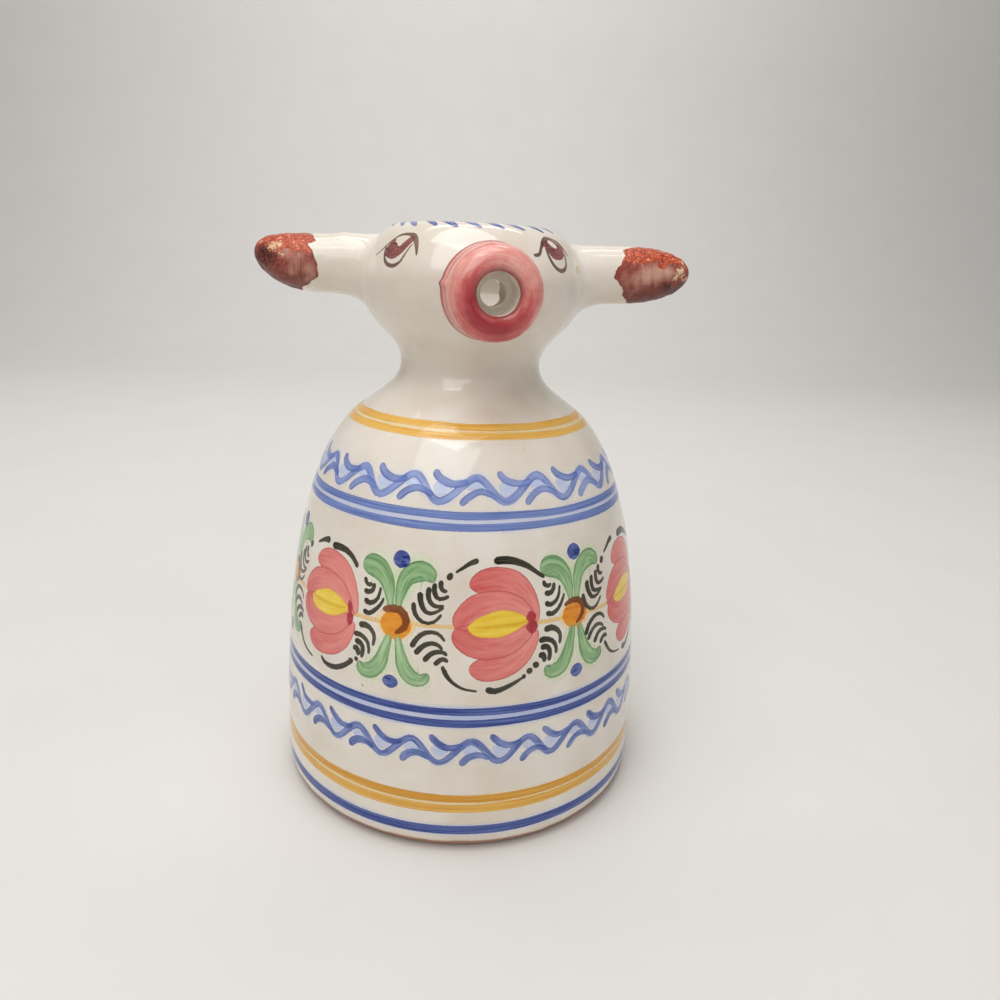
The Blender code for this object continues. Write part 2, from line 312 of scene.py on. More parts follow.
snout = {  # angles of nub and slit in radians round the ring
    "radius": 11.7, "bore": 5.1, "proud": 8.0, "round": 5.5, "lip": 1.9, "height": 143.55, "turn": 6.9,
    "hole": 3.15, "punched": 1.2, "fillet": 1.1, "dents": (0.10, 0.05), "nub": 0.5, "nubAt": 3.0,
    "nubWide": 0.07, "flap": 1.0, "flapWide": 0.6, "slit": 0.7, "slitAt": 0.4, "slitWide": 0.3,
    "paintIn": 0.3, "poolAt": 13.8, "poolSag": 1.4, "poolWide": 2.4, "poolWiden": 0.5,
    "poolRuns": (0.5, 0.45, 0.25), "shadeUnder": 0.62, "underFrom": 5.0, "underOver": 4.0,
    "filletSteps": 8, "domeSteps": 14, "lipSteps": 7, "segments": 160,
    "wayIn": [  # kind of place, bore or hole, how much wider, depth
        ("wall", "bore", 0, 2.4), ("wall", "bore", 0, 0.9), ("wall", "bore", -0.3, 0.25),
        ("wall", "bore", -0.8, 0.06), ("wall", "hole", 0.5, 0.06), ("wall", "hole", 0.12, -0.1),
        ("wall", "hole", 0, -0.6), ("wall", "hole", 0, -1.2), ("slit", "hole", 0, -1.35),
        ("wall", "hole", 0, -1.5), ("flap", "hole", 0, 1.2), ("flap", "hole", 0, 0.6),
        ("flap", "hole", 0.12, 0.1), ("inner", "hole", 0.5, -0.06), ("inner", "hole", 2.2, -0.06),
        ("inner", "hole", 3.8, 0.04),
    ],
}
snoutTurn = math.radians(snout["turn"])
snoutAxis = Vector((math.sin(snoutTurn), -math.cos(snoutTurn), 0))
snoutSide = Vector((math.cos(snoutTurn), math.sin(snoutTurn), 0))
snoutFront = pot["cheek"][0] + snout["proud"]


def addPot(material):
    ring, recess = pot["footRing"], pot["footRecess"]
    bevel, bevelHigh = pot["ringBevel"]
    under = [Vector((radius, 0, height)) for radius, height in (
        (0, recess), (ring * 0.5, recess), (ring - pot["recessSlope"], recess), (ring - bevel, bevelHigh),
        (ring, 0), (ring + pot["ringFlat"], 0))]
    middle = [Vector((inside[-1].x * k, 0, pot["floor"])) for k in (0.6, 0.25, 0)]
    bm = bmesh.new()
    turned(bm, under + wallLine + inside[1:] + middle, pot["segments"])
    for vert in bm.verts:
        flat = math.hypot(vert.co.x, vert.co.y)
        if flat > 0.01 and vert.co.z > 0.01:
            grown = 1 + thrown(math.atan2(vert.co.x, -vert.co.y), vert.co.z) / max(flat, 10)
            vert.co.x *= grown
            vert.co.y *= grown
    punched = []
    for face in bm.faces:
        spot = face.calc_center_median()
        aside = math.hypot(spot.dot(snoutSide), spot.z - snout["height"])
        if spot.dot(snoutAxis) > 0 and aside < snout["hole"] + snout["punched"]:
            punched.append(face)
    bmesh.ops.delete(bm, geom=punched, context="FACES")
    return addPiece(bm, "glazedPot", material, ("body_shell", "head_bowl"))


addPot(potMaterial())
print("pot thrown and glazed")


# horns: solid rolls of clay, smoothed into the head with slip, tips dipped in iron-red paint
# paint: where its edge lies along the horn, by degrees round it from the back over the top
# worn marks: place along the horn, degrees, size, strength; the rubs are partly rubbed paint, partly painted
# sheen
horns = {
    "leftHorn": {
        "node": "left_horn", "turn": 1, "radius": 7.9, "reach": 61.4, "seed": 3, "lift": 0, "swell": 0.3,
        "flat": 0.3, "slipUnder": (9.5, 8.5),
        "crusts": [(58, 232, 3.2, 1), (54, 214, 2.2, 1)],
        "chips": [(57.6, 174, 2.3, 1), (59.4, 204, 1.3, 1), (56.2, 190, 1.2, 1), (58.6, 140, 1, 1)],
        "rubsAndSheen": [(47.5, 182, 2.4, 1), (50.5, 178, 2.6, 1), (53.5, 176, 2, 1), (44.5, 188, 2.2, 0.6),
                 (41.6, 192, 2, 0.45), (43, 214, 2.4, 0.35)],
        "paint": [(0, 43), (45, 43.4), (90, 46.8), (102, 46.2), (114, 43.4), (126, 41), (138, 41.4),
                  (158, 40.4), (168, 38.8), (182, 38.2), (196, 39.5), (205, 40.9), (222, 41.2), (246, 43),
                  (270, 44.5), (320, 43)],
    },
    "rightHorn": {
        "node": "right_horn", "turn": -1, "radius": 8.3, "reach": 59.5, "seed": 8, "lift": 0.9, "swell": 0.6,
        "flat": 1.55, "slipUnder": (8, 5.6),
        "crusts": [(55.2, 178, 3.9, 1), (57.6, 204, 3, 1)],
        "chips": [(53.4, 156, 1.8, 1), (51.6, 150, 1.2, 1), (57.3, 130, 0.9, 1), (51.2, 172, 0.9, 0.9)],
        "rubsAndSheen": [(49.6, 166, 2.2, 0.7), (46.6, 178, 3, 0.55), (43.6, 196, 2.8, 0.55), (43.4, 214, 2.2, 0.65),
                 (47.5, 205, 2.6, 0.4)],
        "paint": [(0, 42.6), (45, 43.2), (90, 45.4), (120, 43.4), (136, 42.4), (146, 44.3), (162, 42.8),
                  (185, 41.6), (204, 41.2), (222, 43.4), (240, 46.2), (270, 46), (320, 44)],
    },
}
hornForm = {
    "height": 147.1, "tilt": 3.0, "shaftEnd": 39.5, "taperPull": 9.0, "tipPull": 6.0, "lumps": (0.15, 0.09),
    "flatFrom": 36.0, "flatTo": 59.0, "crust": 0.3, "crustMm": 1.9, "slipSide": (6.0, 3.7),
    "slipTop": (9.0, 3.6), "filletStations": 10, "shaftStations": 10, "tipStations": 34, "segments": 72,
    "lumpFade": 4.0, "swellFade": 3.0, "crustFade": 2.0,
}


def paintEdge(marks, turn):
    ring = marks + [(marks[0][0] + 360, marks[0][1])]
    i = max(k for k, mark in enumerate(ring[:-1]) if mark[0] <= turn)
    share = (turn - ring[i][0]) / (ring[i + 1][0] - ring[i][0])
    return ring[i][1] + (ring[i + 1][1] - ring[i][1]) * (1 - math.cos(math.pi * share)) / 2


def worn(marks, along, turn):  # how near a point is to the worn spots: each mark's strength in its middle
    girth = 6  # mm to a radian, near the tip
    return max(much * math.exp(-((along - s) ** 2 + (girth * math.radians(turn - t)) ** 2) / size ** 2)
               for s, t, size, much in marks)


def addHorn(name, look, material):
    form = hornForm
    tilt = math.radians(form["tilt"])
    axis = Vector((look["turn"] * math.cos(tilt), 0, math.sin(tilt)))
    rise = Vector((-look["turn"] * math.sin(tilt), 0, math.cos(tilt)))
    root = up * form["height"]
    shaft, tip = Vector((form["shaftEnd"], 0, look["radius"])), Vector((look["reach"], 0, 0))
    taper = bent(shaft, out * form["taperPull"], up * form["tipPull"], tip, form["tipStations"])
    fillets, shafts = form["filletStations"], form["shaftStations"]
    bm = blankTube(fillets + shafts + form["tipStations"] + 1, form["segments"])
    brush = bm.verts.layers.float_vector.new("brush")
    wear = bm.verts.layers.float_vector.new("wear")
    for vert in bm.verts:
        k, turn = round(vert.co.z), math.atan2(vert.co.y, vert.co.x) % fullTurn
        outward = back * math.cos(turn) + rise * math.sin(turn)
        wide, fine = form["lumps"]
        lump = wide * math.sin(2 * turn + look["seed"]) + fine * math.sin(3 * turn + 2 * look["seed"])
        side = root + outward * (look["radius"] + lump)
        heel = side + axis * (look["reach"] - distanceIn(side + axis * look["reach"], -axis))
        fuller = form["slipTop"] if turn < math.pi else look["slipUnder"]
        slipLong, slipWide = Vector(form["slipSide"]).lerp(Vector(fuller), abs(math.sin(turn)))
        edge = heel + axis * slipLong
        if k <= fillets:
            vert.co = luted(edge, -axis, outward, slipWide, 1 - k / fillets)
        elif k <= fillets + shafts:
            vert.co = edge.lerp(side + axis * form["shaftEnd"], (k - fillets) / shafts)
        else:
            spot = taper[k - fillets - shafts]
            share = (spot.x - form["shaftEnd"]) / (look["reach"] - form["shaftEnd"])
            swell = lump * min(spot.z / form["lumpFade"], 1)
            swell += look["swell"] * math.sin(math.pi * share) * min(spot.z / form["swellFade"], 1)
            vert.co = root + axis * spot.x + outward * (spot.z + swell) + rise * look["lift"] * share ** 2
            rough = noise.noise(vert.co / form["crustMm"] + out * look["seed"]) * form["crust"]
            vert.co += outward * rough * min(share * 2, 1) * min(spot.z / form["crustFade"], 1)
        along, degrees = (vert.co - root).dot(axis), math.degrees(turn)
        pressed = min(max((along - form["flatFrom"]) / (form["flatTo"] - form["flatFrom"]), 0), 1)
        # by the thumb, on top
        vert.co -= rise * look["flat"] * max(math.sin(turn), 0) * math.sin(math.pi * pressed)
        vert[brush] = (along, math.sin(turn), along - paintEdge(look["paint"], degrees))
        vert[wear] = [worn(look[kind], along, degrees) for kind in ("crusts", "chips", "rubsAndSheen")]
    return addPiece(bm, name, material, (look["node"],))


# iron-red paint brushed over the glaze of the horns: orange and grainy on top, partly as painted light;
# rubbed thin and pinkish in front, with pale patches partly of painted sheen; brown below, darkened there by
# painted shade; and a dark dull crust at the tip, chipped to the clay
hornPaint = {
    "orange": "#CB5831", "ember": "#8C2A17", "spark": "#F4AE86", "brown": "#9E4A3B", "dark": "#5A2218",
    "pale": "#DFAE9A", "crust": "#33140F", "bare": "#F3CDA6",
    "mottleMm": 3.4, "grainMm": 0.8, "hairMm": 0.5, "raggedMm": 1.6,
}


def hornMaterial():
    material, add = newMaterial("iron-red painted glaze", 0.25, 0.35)
    look = hornPaint
    place, colour, gloss, bump = glazeCoat(add)
    brush = add("Attribute", {}, "Vector", attribute_name="brush")
    past = add("SeparateXYZ", {0: brush}, "Z")  # how far past the paint's edge
    wear = add("Attribute", {}, "Vector", attribute_name="wear")
    crusts, chips, rubsAndSheen = (add("SeparateXYZ", {0: wear}, part) for part in "XYZ")
    facing = add("SeparateXYZ", {0: add("NewGeometry", {}, "Normal")}, "Z")
    grain = add("TexNoise", {"Vector": place, "Scale": 1000 / look["grainMm"], "Detail": 5, "Roughness": 0.7})
    mottle = add("TexNoise", {"Vector": place, "Scale": 1000 / look["mottleMm"], "Detail": 4})
    lie = add("Mapping", {"Vector": brush, "Scale": (1 / look["hairMm"], 1.5, 0)})
    hairs = add("TexNoise", {"Vector": lie, "Scale": 1, "Detail": 2})
    ragged = add("TexNoise", {"Vector": place, "Scale": 1000 / look["raggedMm"], "Detail": 3})
    stray = add("Math", {0: ragged, 1: 1.2, 2: past}, operation="MULTIPLY_ADD")
    painted = add("MapRange", {"Value": stray, "From Min": 0.45, "From Max": 0.75})
    # on top, where the horn faces up: orange and grainy, partly painted light
    glow = laid(add, look["orange"], look["ember"], grain, 0.47, 0.58, 0.9)
    onTop = laid(add, glow, look["spark"], grain, 0.43, 0.36, 0.9)
    # in front: brown paint, with pale patches that are partly paint rubbed thin and partly painted sheen
    brown = laid(add, look["brown"], look["dark"], grain, 0.46, 0.58, 0.45)
    thin = add("Math", {0: mottle, 1: 0.7, 2: rubsAndSheen}, operation="MULTIPLY_ADD")
    rubbedAndSheen = add("Math", {0: hairs, 1: 0.5, 2: thin}, operation="MULTIPLY_ADD")
    inFront = laid(add, brown, look["pale"], rubbedAndSheen, 0.74, 1.5, 0.85)
    # painted light and shade: where the horn faces up the orange takes over, partly as painted light, and
    # where it faces down the paint darkens as painted shade
    topLitUnderShaded = add("Math", {0: mottle, 1: 0.9, 2: facing}, operation="MULTIPLY_ADD")
    warm = laid(add, inFront, onTop, topLitUnderShaded, 0.68, 0.92)
    shaded = laid(add, warm, look["dark"], topLitUnderShaded, 0.1, -0.4, 0.8)
    # edge and tip
    edged = laid(add, shaded, look["ember"], stray, 1.5, 0.7, 0.5)
    burnt = add("Math", {0: grain, 1: 3, 2: crusts}, operation="MULTIPLY_ADD")
    tipped = laid(add, edged, look["crust"], burnt, 1.8, 2.5, 0.92)
    knocked = add("Math", {0: grain, 1: 3.6, 2: chips}, operation="MULTIPLY_ADD")
    chipped = laid(add, tipped, look["bare"], knocked, 2.4, 2.65, 0.95)
    skin = add("Mix", {0: painted, 6: colour, 7: chipped}, 2, data_type="RGBA")
    dull = add("MapRange", {"Value": grain, "From Min": 0.35, "From Max": 0.65,
                            "To Min": 0.16, "To Max": 0.5})
    shine = add("Mix", {0: painted, 2: gloss, 3: dull})
    rough = add("Math", {0: grain, 1: painted}, operation="MULTIPLY")
    gritty = add("Bump", {"Height": rough, "Normal": bump, "Strength": 0.6, "Distance": 0.0004})
    return joined(material, {"Base Color": skin, "Roughness": shine, "Normal": gritty})


hornGlaze = hornMaterial()
for hornName, hornLook in horns.items():
    addHorn(hornName, hornLook, hornGlaze)
print("horns luted on")


# snout: a thick roll of clay round the pour hole, its bore left white
# stations: kind, radius, depth from the jug's axis or, where the kind says so, from the head's wall
def snoutStations():
    lipEdge, joint = snout["bore"] + snout["lip"], snout["filletSteps"]
    side = Vector((snout["radius"], 0, snoutFront - snout["round"]))
    crown = Vector((lipEdge, 0, snoutFront))
    pull = 0.5523  # draws a quarter of an ellipse
    dome = bent(side, up * snout["round"] * pull, out * (snout["radius"] - lipEdge) * pull, crown,
                snout["domeSteps"])
    edge = arc(Vector((lipEdge, 0, snoutFront - snout["lip"])), snout["lip"], 90, 180, snout["lipSteps"])
    stations = [("joint", snout["radius"], k / joint) for k in range(joint, -1, -1)]
    stations += [("free", p.x, p.z) for p in dome[1:] + edge[1:]]
    return stations + [(kind, snout[of] + wider, depth) for kind, of, wider, depth in snout["wayIn"]]


def addSnout(material):
    stations = snoutStations()
    across, hiddenStep = [0.0], 0.7
    for (kindA, ra, da), (kindB, rb, db) in zip(stations, stations[1:]):
        across.append(across[-1] + (math.hypot(ra - rb, da - db) if kindA == kindB == "free" else hiddenStep))
    paintEnd = across[max(k for k, s in enumerate(stations) if s[0] == "free")] - snout["paintIn"]
    bm = blankTube(len(stations), snout["segments"])
    brush = bm.verts.layers.float_vector.new("brush")
    edges = bm.verts.layers.float.new("edge")
    poolsAndShade = bm.verts.layers.float.new("poolAndShade")
    root = up * snout["height"]
    broad, fine = snout["dents"]
    evenly, down, aside = snout["poolRuns"]
    for vert in bm.verts:
        k, turn = round(vert.co.z), math.atan2(vert.co.y, vert.co.x)
        kind, radius, depth = stations[k]
        outward = snoutSide * math.cos(turn) + up * math.sin(turn)
        dent = broad * math.sin(2 * turn + 1) + fine * math.sin(5 * turn)
        if kind == "joint":  # a crumb of slip left at the side
            dent += snout["nub"] * math.exp(-((turn % fullTurn - snout["nubAt"]) / snout["nubWide"]) ** 2)
            edge = root + outward * (radius + dent) + snoutAxis * (snoutFront - snout["round"])
            vert.co = luted(edge, -snoutAxis, outward, snout["fillet"], depth)
        elif kind == "free":
            vert.co = root + outward * (radius + dent * radius / snout["radius"]) + snoutAxis * depth
        else:
            a, b = radius * math.cos(turn), radius * math.sin(turn)
            wall = potRadius(root.z + b, snoutTurn) - (0 if kind in ("wall", "slit") else pot["wall"])
            if kind == "flap":  # the punch left a flap of clay at one side, with a slit behind its edge
                radius -= snout["flap"] * math.exp(-(turn / snout["flapWide"]) ** 2)
            elif kind == "slit":
                radius += snout["slit"] * math.exp(-((turn - snout["slitAt"]) / snout["slitWide"]) ** 2)
            vert.co = root + outward * radius + snoutAxis * (depth + math.sqrt(wall ** 2 - a * a))
        vert[brush] = (math.cos(turn), math.sin(turn), across[k])
        vert[edges] = min(across[k], paintEnd - across[k])
        below = max(-math.sin(turn), 0)
        runs = evenly - down * math.sin(turn) - aside * math.cos(turn)
        wide = snout["poolWide"] + snout["poolWiden"] * below
        pooled = (across[k] - snout["poolAt"] + snout["poolSag"] * below) / wide
        # painted shade: the underside of the ring, away from the bore, deepens towards crimson, partly
        # thicker paint and partly the shade beneath the ring
        under = below ** 2 * min(max((across[k] - snout["underFrom"]) / snout["underOver"], 0), 1)
        vert[poolsAndShade] = max(runs * math.exp(-pooled ** 2), snout["shadeUnder"] * under)
    return addPiece(bm, "snoutRing", material, ("snout_ring",))


# rose paint brushed round and round the snout: thin and salmon on top, run down and pooled crimson
# round the bore, and deepened under the ring by painted shade together with thicker paint
rosePaint = {"thin": "#F2B6A7", "full": "#D56B66", "poolAndShade": "#A42C36", "line": "#8C3A3A", "streakMm": 0.7,
             "broadMm": 5.0, "raggedMm": 1.4}


def snoutMaterial():
    material, add = newMaterial("rose painted glaze", 0.16)
    look = rosePaint
    place, colour, gloss, bump = glazeCoat(add)
    brush = add("Attribute", {}, "Vector", attribute_name="brush")
    edge = add("Attribute", {}, "Fac", attribute_name="edge")
    # paint pooled round the bore, plus painted shade under the ring
    pooled = add("Attribute", {}, "Fac", attribute_name="poolAndShade")
    lie = add("Mapping", {"Vector": brush, "Scale": (1.5, 1.5, 1 / look["streakMm"])})
    hairs = add("TexNoise", {"Vector": lie, "Scale": 1, "Detail": 4, "Roughness": 0.55, "Distortion": 0.4})
    broad = add("TexNoise", {"Vector": place, "Scale": 1000 / look["broadMm"], "Detail": 5, "Roughness": 0.6})
    brushed = add("Math", {0: hairs, 1: 0.6, 2: pooled}, operation="MULTIPLY_ADD")
    wet = add("Math", {0: broad, 1: 0.9, 2: brushed}, operation="MULTIPLY_ADD")
    light = laid(add, look["thin"], look["full"], wet, 0.5, 1.1)
    deep = laid(add, light, look["poolAndShade"], wet, 1, 1.65)
    lined = laid(add, deep, look["line"], edge, 2.6, 0.7, 0.8)
    ragged = add("TexNoise", {"Vector": place, "Scale": 1000 / look["raggedMm"], "Detail": 2})
    stray = add("Math", {0: ragged, 1: 0.7, 2: edge}, operation="MULTIPLY_ADD")
    painted = add("MapRange", {"Value": stray, "From Min": 0.3, "From Max": 0.7})
    skin = add("Mix", {0: painted, 6: colour, 7: lined}, 2, data_type="RGBA")
    ridge = add("Bump", {"Height": hairs, "Normal": bump, "Strength": 0.2, "Distance": 0.0001})
    return joined(material, {"Base Color": skin, "Roughness": gloss, "Normal": ridge})


addSnout(snoutMaterial())
print("snout pressed on")


# handle: a pulled strap from the back of the head to the shoulder
strap = {
    "top": 147.6, "foot": 97.0, "topPull": 21.0, "footPull": 20.0, "width": 13.0, "thick": 7.0,
    "rootWidth": 16.0, "rootThick": 9.0, "rootFall": 6, "squared": (0.85, 0.9), "ripple": 0.012,
    "rippleMm": 6.1, "clear": 6.5, "spread": 4.0, "slopeRise": 5.0, "pathSteps": 160, "filletStations": 10,
    "stations": 44, "segments": 40,
}


def addHandle(material):
    wall = pot["wall"]
    footRadius = potRadius(strap["foot"])
    slope = (potRadius(strap["foot"] + strap["slopeRise"]) - footRadius) / strap["slopeRise"]
    square = Vector((0, 1, -slope)).normalized()
    start = Vector((0, pot["cheek"][0] - wall, strap["top"]))
    end = Vector((0, footRadius, strap["foot"])) - square * wall
    path = bent(start, back * (strap["topPull"] + wall), square * (strap["footPull"] + wall), end,
                strap["pathSteps"])
    reach = reachAlong(path)
    first = wall + strap["clear"]
    last = reach[-1] - first

    def strapSide(distance, turn):
        i, share = findIn(reach, distance)
        along = (path[i + 1] - path[i]).normalized()
        swell = math.cos(math.pi * distance / reach[-1]) ** strap["rootFall"]
        wide = (strap["width"] + (strap["rootWidth"] - strap["width"]) * swell) / 2
        deep = (strap["thick"] + (strap["rootThick"] - strap["thick"]) * swell) / 2
        c, s = (math.copysign(abs(v) ** power, v)
                for v, power in zip((math.cos(turn), math.sin(turn)), strap["squared"]))
        offset = out * wide * c + along.cross(out) * deep * s
        ripple = 1 + strap["ripple"] * math.sin(distance / strap["rippleMm"] + 2 * turn)
        return path[i].lerp(path[i + 1], share) + offset * ripple, along, offset.normalized()

    fillets, count = strap["filletStations"], strap["stations"]
    bm = blankTube(count + 2 * fillets + 1, strap["segments"])
    for vert in bm.verts:
        k, turn = round(vert.co.z), math.atan2(vert.co.y, vert.co.x)
        if k < fillets:
            edge, along, outward = strapSide(first, turn)
            vert.co = luted(edge, -along, outward, strap["spread"], 1 - k / fillets)
        elif k > fillets + count:
            edge, along, outward = strapSide(last, turn)
            vert.co = luted(edge, along, outward, strap["spread"], (k - fillets - count) / fillets)
        else:
            vert.co = strapSide(first + (last - first) * (k - fillets) / count, turn)[0]
    return addPiece(bm, "strapHandle", material, ("handle",))


def plainGlaze():  # the same white glaze, all over
    material, add = newMaterial("white tin glaze", 0.15)
    colour, gloss, bump = glazeCoat(add)[1:]
    return joined(material, {"Base Color": colour, "Roughness": gloss, "Normal": bump})


addHandle(plainGlaze())
print("handle pulled and luted")


# painting: every mark of the brush is a thin film of its own on the glaze
def flowing(points):  # a smooth line through the points, width included
    line, steps, ease = [], 12, 6
    for i in range(len(points) - 1):
        a, b, c = points[max(i - 1, 0)], points[i], points[i + 1]
        d = points[min(i + 2, len(points) - 1)]
        line += bent(b, (c - a) / ease, (b - d) / ease, c, steps)[:-1]
    return line + [points[-1]]


def newPaint():
    bm = bmesh.new()
    bm.verts.layers.float_vector.new("brush")
    bm.verts.layers.float.new("load")
    return bm


def brushStroke(bm, points, place, lift, load, along=14, across=4, blunt=1.0, closed=False, fade=0.0):
    softEdge, crown, longRows = 0.16, 0.008, 60  # mm, mm more in the middle, rows of a long line
    brush = bm.verts.layers.float_vector["brush"]
    loads = bm.verts.layers.float["load"]
    line = flowing([Vector(p) for p in points])
    reach = reachAlong([p.xy for p in line])
    total = reach[-1]
    made = bmesh.ops.create_grid(bm, x_segments=along, y_segments=across, size=1)
    for vert in made["verts"]:
        share, side = (vert.co.x + 1) / 2, vert.co.y
        if along < longRows:
            share = (1 - math.cos(math.pi * share)) / 2  # rows crowd at the round ends
        distance = share * total
        i, part = findIn(reach, distance)
        spot = line[i].lerp(line[i + 1], part)
        heading = (line[min(i + 2, len(line) - 1)] - line[max(i - 1, 0)]).xy.normalized()
        half = spot.z / 2 + softEdge
        if not closed:
            cap = min(min(distance, total - distance) / max(half * blunt, 1e-6), 1)
            half *= math.sqrt(max(1 - (1 - cap) ** 2, 0))
        angle, high = place(spot.x - heading.y * half * side, spot.y + heading.x * half * side)
        vert.co = potPoint(angle, high, lift + crown * (1 - side * side))
        vert[brush] = (distance, half * side, half * (1 - abs(side)))
        vert[loads] = load + fade * share


def wallPlace(angle, height, radius):
    middle = math.radians(angle - faceOff)
    return lambda x, y: (middle + x / radius, reachAt(height + y))


def spread(measured, count):  # angles all round the jug: the measured ones, then even steps over the far side
    gap = (measured[0] + 360 - measured[-1]) / (count - len(measured) + 1)
    return measured + [measured[-1] + gap * (i + 1) for i in range(count - len(measured))]


def byHand(points, rng, stray, swell):  # no two strokes of a hand are the same
    dx, dy = rng.uniform(-stray, stray), rng.uniform(-stray, stray)
    more = 1 + rng.uniform(-swell, swell)
    return [(x + dx + rng.uniform(-stray, stray) / 2, y + dy + rng.uniform(-stray, stray) / 2, w * more)
            for x, y, w in points]


# what a film of paint has unless its own dictionary says otherwise. Thin and full are its colours by load,
# rim the colour that gathers at the edge of a stroke, streak the length and width of the brush's hairs in mm
anyFilm = {"rimMm": 0.5, "rimShare": 0.3, "contrast": 0.3, "ragged": 0.1, "cover": (0.9, 1), "gloss": 0.08,
           "grainMm": 0.7}


def paintFilm(look):
    look = {"rim": look["thin"], **anyFilm, **look}
    material, add = newMaterial(look["name"], look["gloss"], 0.3)  # pigment dulls the glaze a little
    place = add("TexCoord", {}, "Object")
    brush = add("Attribute", {}, "Vector", attribute_name="brush")
    load = add("Attribute", {}, "Fac", attribute_name="load")
    edge = add("SeparateXYZ", {0: brush}, "Z")
    long, wide = look["streak"]
    if look.get("ringed"):  # lines turned on the wheel: the streaks run level
        lie = add("Mapping", {"Vector": place, "Scale": (1000 / long, 1000 / long, 1000 / wide)})
    else:
        flat = add("Mapping", {"Vector": brush, "Scale": (1 / long, 1 / wide, 0)})
        lie = add("VectorMath", {0: place, 1: (40, 40, 40), 2: flat}, operation="MULTIPLY_ADD")
    hairs = add("TexNoise", {"Vector": lie, "Scale": 1, "Detail": 3, "Roughness": 0.6})
    pull = look["contrast"]
    swing = add("MapRange", {"Value": hairs, "From Min": 0.3, "From Max": 0.7,
                             "To Min": -pull, "To Max": pull})
    pigment = add("Math", {0: swing, 1: load}, operation="ADD", use_clamp=True)
    body = add("Mix", {0: pigment, 6: look["thin"], 7: look["full"]}, 2, data_type="RGBA")
    colour = laid(add, body, look["rim"], edge, look["rimMm"], 0.1, look["rimShare"])
    grain = add("TexNoise", {"Vector": place, "Scale": 1000 / look["grainMm"], "Detail": 2})
    ragged = add("Math", {0: grain, 1: look["ragged"], 2: edge}, operation="MULTIPLY_ADD")
    shore = look["ragged"] * 0.72
    soft = add("MapRange", {"Value": ragged, "From Min": shore, "From Max": shore + look["soft"]},
               interpolation_type="SMOOTHSTEP")
    low, high = look["cover"]
    cover = add("MapRange", {"Value": pigment, "To Min": low, "To Max": high})
    alpha = add("Math", {0: soft, 1: cover}, operation="MULTIPLY")
    return joined(material, {"Base Color": colour, "Alpha": alpha})


def addPaint(bm, name, material):
    piece = addPiece(bm, name, material)
    # it lies in the glaze, not on it
    piece.visible_shadow = piece.visible_diffuse = piece.visible_glossy = False
    return piece


# cobalt blue and antimony yellow: lines turned on the wheel, with the bleed they leave in the white
# rings: middle height, width, load of paint
bands = {
    "blueBleed": {"name": "cobalt bleed in tin glaze", "lift": 0.02, "seed": 5,
                  "rings": [(89.75, 5.8, 0.6), (40.45, 7, 0.8), (7.1, 4.8, 0.5)], "thin": "#BCC9EC",
                  "full": "#9FB3E6", "streak": (30, 6), "soft": 1.6, "cover": (0.4, 0.7), "ringed": True},
    "yellowBleed": {"name": "antimony bleed in tin glaze", "lift": 0.02, "seed": 8,
                    "rings": [(109.65, 4.2, 0.5), (15.3, 6.4, 0.6)], "thin": "#F0D58C", "full": "#EBC766",
                    "streak": (30, 6), "soft": 1.2, "cover": (0.4, 0.7), "ringed": True},
    "blueBands": {"name": "cobalt line in tin glaze", "lift": 0.034, "seed": 6,
                  "rings": [(91.1, 1.8, 0.3), (88.4, 1.8, 0.3), (42.05, 2, 0.85), (38.85, 2, 0.85),
                            (7.15, 2.7, 0.8)],
                  "thin": "#7A91CC", "full": "#2B3E86", "rim": "#263A80", "rimShare": 0.5,
                  "streak": (22, 0.35), "contrast": 0.35, "ragged": 0.16, "soft": 0.24, "ringed": True},
    "yellowBands": {"name": "antimony yellow line in tin glaze", "lift": 0.034, "seed": 7,
                    "rings": [(110.65, 1.45, 0.45), (108.65, 1.45, 0.4), (16.85, 2.3, 0.8),
                              (13.85, 2.5, 0.5)],
                    "thin": "#F6C662", "full": "#D2902A", "rim": "#CE8C30", "rimMm": 0.45, "rimShare": 0.4,
                    "streak": (20, 0.3), "contrast": 0.4, "ragged": 0.2, "soft": 0.26, "ringed": True},
}


def addBands(name, look):
    rng = random.Random(look["seed"])
    bm = newPaint()
    steps, waver, widths, seam = 24, 0.12, (0.93, 1.07), 180
    for height, width, load in look["rings"]:
        radius = potRadius(height)
        ring = [(fullTurn * radius * i / steps, rng.uniform(-waver, waver), width * rng.uniform(*widths))
                for i in range(steps)]
        ring.append((fullTurn * radius, ring[0][1], ring[0][2]))
        place = wallPlace(seam, height, radius)
        brushStroke(bm, ring, place, look["lift"], load, along=pot["segments"], closed=True)
    return addPaint(bm, name, paintFilm(look))


for bandName, bandLook in bands.items():
    addBands(bandName, bandLook)
print("lines turned")


